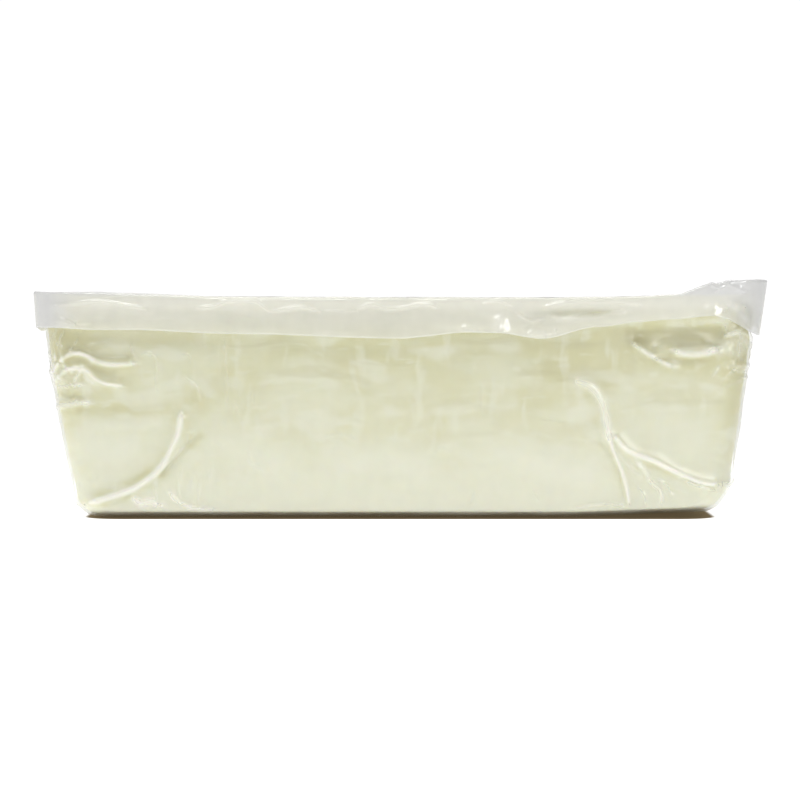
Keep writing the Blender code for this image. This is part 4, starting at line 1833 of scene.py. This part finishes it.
@dataclass
class LidFilm:
    """The lid film on the loaf's top, with the sealed skirt round it."""

    skirt: SkirtForm
    relief: Relief
    name: str = "lid_and_skirt"
    spacing: float = 1.35 * MM
    rings: int = 34
    thickness: float = 0.28 * MM
    dressing: Dressing = SKIRT_DRESSING
    # How milky the film is on the lid, at the crest, below the seal and how much more above it.
    lid_haze: float = 0.10
    crest_haze: float = 0.50
    seal_haze: float = 0.50
    above_haze: float = 0.08
    above_over: float = 5.0 * MM
    # Past these distances to the left and right it turns as milky as this, over that distance.
    end_haze: float = 0.78
    ends_from: tuple[float, float] = (142 * MM, 149 * MM)
    ends_over: float = 10 * MM
    # How much milkier the very hem is, where the film is doubled and a highlight along its cut edge is
    # painted, and the share of the section where it starts.
    hem_haze: float = 0.35
    hem_from: float = 0.98
    haze_between: tuple[float, float] = (0.28, 1.0)
    # Clearer and milkier places: X, height, half sizes (millimetres) and how much milkier. The milkier
    # spots at X 28, 43 and 60 lie on the skirt's glints and paint them brighter, a painted highlight.
    windows: tuple[tuple[float, ...], ...] = (
        (79, 89.4, 17, 1.9, -0.40),
        (-69, 86.0, 13, 5.0, -0.12),
        (43, 85.5, 3.5, 4.0, 0.30),
        (60, 81.6, 10, 2.6, 0.22),
        (28, 83.0, 12, 2.4, 0.16),
        (-130, 86.0, 12, 3.0, -0.12),
        (120, 93.0, 12, 4.0, 0.12),
        (146, 86.0, 8, 7.0, -0.6),
    )

    def _haze(self, points: Points, share: float) -> Points:
        """Tells how milky the sealed films are.

        Args:
            points: The points of one ring of the skirt.
            share: The ring's place on the skirt's section.

        Returns:
            The milkiness at each point.
        """
        if share < self.skirt.crest_from:
            rise = float(smooth(share / self.skirt.crest_from))
            return np.full(len(points), self.lid_haze + (self.crest_haze - self.lid_haze) * rise)
        line = path_through(SEAL_LINE, 2.0) * MM
        x, height = points[:, 0], points[:, 2]
        seal = np.interp(x, line[:, 0], line[:, 1])
        haze = self.seal_haze + self.above_haze * smooth((height - seal) / self.above_over + 0.5)
        for middle, low, half_x, half_z, strength in self.windows:
            away = ((x / MM - middle) / half_x) ** 2 + ((height / MM - low) / half_z) ** 2
            haze += strength * np.exp(-away)
        left, right = self.ends_from
        ends = smooth((np.abs(x) - np.where(x > 0, right, left)) / self.ends_over)
        haze += ends * (self.end_haze - haze)
        if share > self.hem_from:
            haze += self.hem_haze
        return np.clip(haze, *self.haze_between)

    def _rings(self, spots: Points) -> tuple[Points, Points]:
        """Lays the rings of the skirt, from the lid out to its crest and down to its hem.

        Args:
            spots: The points of a rim of half size 1.

        Returns:
            The points, and how milky the film is at each.
        """
        turns = self.skirt.turns(spots)
        outline, way = self.skirt.outline(spots)
        layers, haze = [], []
        for share in np.linspace(0, 1, self.rings):
            section = self.skirt.section(turns, share)
            layers.append(np.column_stack([outline + way * section[:, :1], section[:, 1]]))
            haze.append(self._haze(layers[-1], share))
        return np.vstack(layers), np.concatenate(haze)

    def _lid(self, rim: Rim) -> Points:
        """Lays the lid's points inside the skirt's first ring.

        Args:
            rim: The skirt's lines.

        Returns:
            The points, one column after the other.
        """
        x, y = rim.lines_x()[1:-1] / rim.half_x, rim.lines_y()[1:-1] / rim.half_y
        across, along = np.meshgrid(y, x)
        inner = np.column_stack([along.ravel(), across.ravel()])
        size = np.maximum(np.abs(inner).max(axis=1, keepdims=True), 1e-6)
        edge, way = self.skirt.outline(inner / size)
        middle = (self.skirt.middle_x, 0.0)
        edge = edge - way * self.skirt.lid_inset - middle
        return np.column_stack([edge * size + middle, np.full(len(inner), self.skirt.lid_top)])

    def make(self, finish: FilmFinish) -> bpy.types.Object:
        """Builds and dresses the film.

        Args:
            finish: The film's finish.

        Returns:
            The film.
        """
        half = self.skirt.half - self.skirt.lid_inset
        rim = Rim(half[0], half[1], self.spacing, self.spacing, half[0] * 0.5)
        rings, haze = self._rings(rim.spots() / half)
        lid = self._lid(rim)
        faces = rim.sleeve(self.rings) + self._lid_faces(rim, len(rings))
        milk = np.concatenate([haze, np.full(len(lid), self.lid_haze)])
        piece = Skin(self.name, np.vstack([rings, lid]), faces, milk).build()
        material = finish.material()
        piece.data.materials.append(material)
        self.relief.dress(piece, self.dressing, material)
        wall = piece.modifiers.new("film thickness", "SOLIDIFY")
        wall.thickness = self.thickness
        wall.offset = 0.0
        settle(piece)
        return piece

    @staticmethod
    def _lid_faces(rim: Rim, first: int) -> list[tuple[int, ...]]:
        """Lists the faces of the lid inside the skirt's first ring.

        Args:
            rim: The skirt's lines.
            first: The number of the lid's first inner point.

        Returns:
            The faces, which look up.
        """
        long, short = len(rim.lines_x()) - 1, len(rim.lines_y()) - 1

        def number(column: int, row: int) -> int:
            """Gives the number of the lid's point in this column and row.

            Args:
                column: The column, from the left.
                row: The row, from the front.

            Returns:
                The point's number.
            """
            if row == 0:
                return column
            if column == long:
                return long + row
            if row == short:
                return 2 * long + short - column
            if column == 0:
                return 2 * (long + short) - row
            return first + (column - 1) * (short - 1) + row - 1

        faces = []
        for column in range(long):
            for row in range(short):
                corners = ((column, row), (column + 1, row), (column + 1, row + 1), (column, row + 1))
                faces.append(tuple(number(*corner) for corner in corners))
        return faces


# ---------------------------------------------------------------- the studio


@dataclass(frozen=True)
class Lamp:
    """A soft box that looks at the pack."""

    name: str
    place: tuple[float, float, float]
    size: tuple[float, float]
    power: float
    gloss_only: bool = False
    aim: tuple[float, float, float] = (0.0, 0.0, 0.05)

    def build(self) -> None:
        """Hangs the lamp."""
        data = bpy.data.lights.new(self.name, "AREA")
        data.shape = "RECTANGLE"
        data.size, data.size_y = self.size
        data.energy = self.power
        lamp = bpy.data.objects.new(self.name, data)
        lamp.location = self.place
        lamp.visible_camera = False
        lamp.visible_diffuse = not self.gloss_only
        way = Vector(self.aim) - Vector(self.place)
        lamp.rotation_euler = way.to_track_quat("-Z", "Y").to_euler()
        bpy.context.scene.collection.objects.link(lamp)


@dataclass
class Studio:
    """A white table, soft light and the camera."""

    sky: float = 0.90
    sky_sides: tuple[float, float] = (0.98, 0.24)  # shares of the sky, from the left to the right
    mirrored_sky: float = 0.7
    mirrored_between: tuple[float, float] = (0.04, 0.10)
    backdrop: float = 1.05  # how bright the surroundings look, just past white
    table_side: float = 9.0
    table_drop: float = 0.0004
    table_colour: Colour = (0.45, 0.45, 0.45, 1.0)
    table_glow: Colour = (0.94, 0.94, 0.94, 1.0)
    table_white_between: tuple[float, float] = (0.3, 1.0)  # how far off it turns plain white
    # The contact shadow: its half sizes, its rounding, how far it fades and its colours.
    contact_half: tuple[float, float] = (136 * MM, 42 * MM)
    contact_round: float = 14 * MM
    contact_between: tuple[float, float] = (1 * MM, 4 * MM)
    contact_colour: Colour = (0.22, 0.17, 0.11, 1.0)
    contact_glow: Colour = (0.075, 0.058, 0.033, 1.0)
    sensor: float = 36.0
    view_width: float = 347 * MM
    distance: float = 1.4
    elevation: float = 2.0
    aim: tuple[float, float, float] = (0.0, -0.050, 0.0518)
    lamps: tuple[Lamp, ...] = (
        Lamp("overhead_box", (0.1, -0.35, 1.3), (1.2, 0.8), 6.0),
        Lamp("top_box", (0.0, 0.06, 1.2), (0.5, 0.3), 4.0),
        Lamp("glint_box", (-0.15, -1.05, 0.68), (0.30, 0.30), 3.4, gloss_only=True),
        Lamp("strip_box", (0.56, -1.17, 0.22), (0.42, 0.34), 6.0, gloss_only=True),
    )

    def _clear_of_contact(self, bench: Bench, at: bpy.types.NodeSocket) -> bpy.types.NodeSocket:
        """Masks the table round the contact shadow.

        Args:
            bench: The bench of the table's material.
            at: The object coordinates.

        Returns:
            The mask, 0 in the shadow and 1 clear of it.
        """
        parts = bench.add("ShaderNodeSeparateXYZ", {0: at}).outputs
        past = []
        for axis, half in zip("XY", self.contact_half):
            away = bench.math("ABSOLUTE", parts[axis])
            away = bench.math("SUBTRACT", away, half - self.contact_round)
            past.append(bench.math("MAXIMUM", away, 0.0))
        corner = bench.add("ShaderNodeCombineXYZ", {0: past[0], 1: past[1]}).outputs[0]
        clear_of = bench.math("SUBTRACT", bench.length(corner), self.contact_round)
        return bench.soft_step(clear_of, *self.contact_between)

    def floor(self) -> None:
        """Lays the white table."""
        side, level = self.table_side, -self.table_drop
        corners = [(x * side, y * side, level) for x, y in ((-1, -1), (1, -1), (1, 1), (-1, 1))]
        floor = Skin("table", np.array(corners), [(0, 1, 2, 3)]).build()
        material, bench, output = fresh_material("white table")
        at = bench.add("ShaderNodeTexCoord").outputs["Object"]
        clear_of = self._clear_of_contact(bench, at)
        colour = bench.mix_colour(clear_of, self.contact_colour, self.table_colour)
        glow = bench.mix_colour(clear_of, self.contact_glow, self.table_glow)
        white = bench.add("ShaderNodeBsdfDiffuse", {"Color": colour})
        glow = bench.add("ShaderNodeEmission", {"Color": glow})
        matt = bench.add("ShaderNodeAddShader", {0: white.outputs[0], 1: glow.outputs[0]})
        lit = bench.add("ShaderNodeEmission", {"Color": (1.0, 1.0, 1.0, 1.0), "Strength": self.backdrop})
        near, far = self.table_white_between
        inputs = {"Value": bench.length(at), "From Min": near, "From Max": far}
        away = bench.add("ShaderNodeMapRange", inputs).outputs[0]
        mixed = bench.add("ShaderNodeMixShader", {0: away, 1: matt.outputs[0], 2: lit.outputs[0]})
        bench.finish(mixed.outputs[0], output)
        floor.data.materials.append(material)

    def world(self) -> None:
        """Surrounds the table with soft white light, plain white where it is seen."""
        world = bpy.data.worlds.new("studio")
        world.use_nodes = True
        bench = Bench(world.node_tree)
        output = bench.add("ShaderNodeOutputWorld")
        rays = bench.add("ShaderNodeLightPath").outputs
        way = bench.add("ShaderNodeTexCoord").outputs["Generated"]
        way = bench.add("ShaderNodeSeparateXYZ", {0: way}).outputs
        left, right = (share * self.sky for share in self.sky_sides)
        inputs = {"Value": way["X"], "From Min": -1.0, "To Min": left, "To Max": right}
        side = bench.add("ShaderNodeMapRange", inputs).outputs[0]
        # What a level surface mirrors is as bright from either end.
        mirrored = bench.soft_step(way["Z"], *self.mirrored_between, self.mirrored_sky)
        mirrored = bench.math("MULTIPLY", mirrored, rays["Is Glossy Ray"])
        bright = bench.math("MAXIMUM", side, mirrored)
        lighting = bench.add("ShaderNodeBackground", {"Color": (1, 1, 1, 1), "Strength": bright})
        seen = bench.add("ShaderNodeBackground", {"Color": (1, 1, 1, 1), "Strength": self.backdrop})
        inputs = {0: rays["Is Camera Ray"], 1: lighting.outputs[0], 2: seen.outputs[0]}
        bench.finish(bench.add("ShaderNodeMixShader", inputs).outputs[0], output)
        bpy.context.scene.world = world

    def camera(self) -> None:
        """Places the camera a little above the table, square to the front."""
        data = bpy.data.cameras.new("camera")
        data.sensor_width = self.sensor
        data.lens = self.sensor * self.distance / self.view_width
        camera = bpy.data.objects.new("camera", data)
        tilt = math.radians(self.elevation)
        back = Vector((0.0, -math.cos(tilt), math.sin(tilt))) * self.distance
        camera.location = Vector(self.aim) + back
        camera.rotation_euler = (-back).to_track_quat("-Z", "Y").to_euler()
        bpy.context.scene.collection.objects.link(camera)
        bpy.context.scene.camera = camera

    def build(self) -> None:
        """Sets up the studio."""
        self.camera()
        self.world()
        self.floor()
        for lamp in self.lamps:
            lamp.build()
        bpy.context.scene.view_settings.view_transform = "Standard"


def report(piece: bpy.types.Object) -> None:
    """Logs a piece and how many faces it has."""
    LOG.info("%s: %d faces", piece.name, len(piece.data.polygons))


def main() -> None:
    """Builds the pack's pieces and the studio in order."""
    logging.basicConfig(level=logging.INFO, format="%(name)s: %(message)s")
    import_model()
    Studio().build()

    form = LoafForm()
    skirt = SkirtForm(form)
    relief = Relief(form, skirt.on_front)
    relief.draw_guides()

    cheese = Cheese(form, relief).make(CheeseFinish())
    film = ClingFilm(form, relief).make(CLEAR_FILM)
    lid = LidFilm(skirt, relief).make(MILKY_FILM)
    relief.clear_guides()

    for piece, slot, nodes in (
        (cheese, "cheese", ("mozzarella_block",)),
        (film, "film", ("mozzarella_block",)),
        (lid, "film", ("lid_film",)),
    ):
        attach(piece, "root")
        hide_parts(*nodes)
        report(piece)


if __name__ == "__main__":
    main()
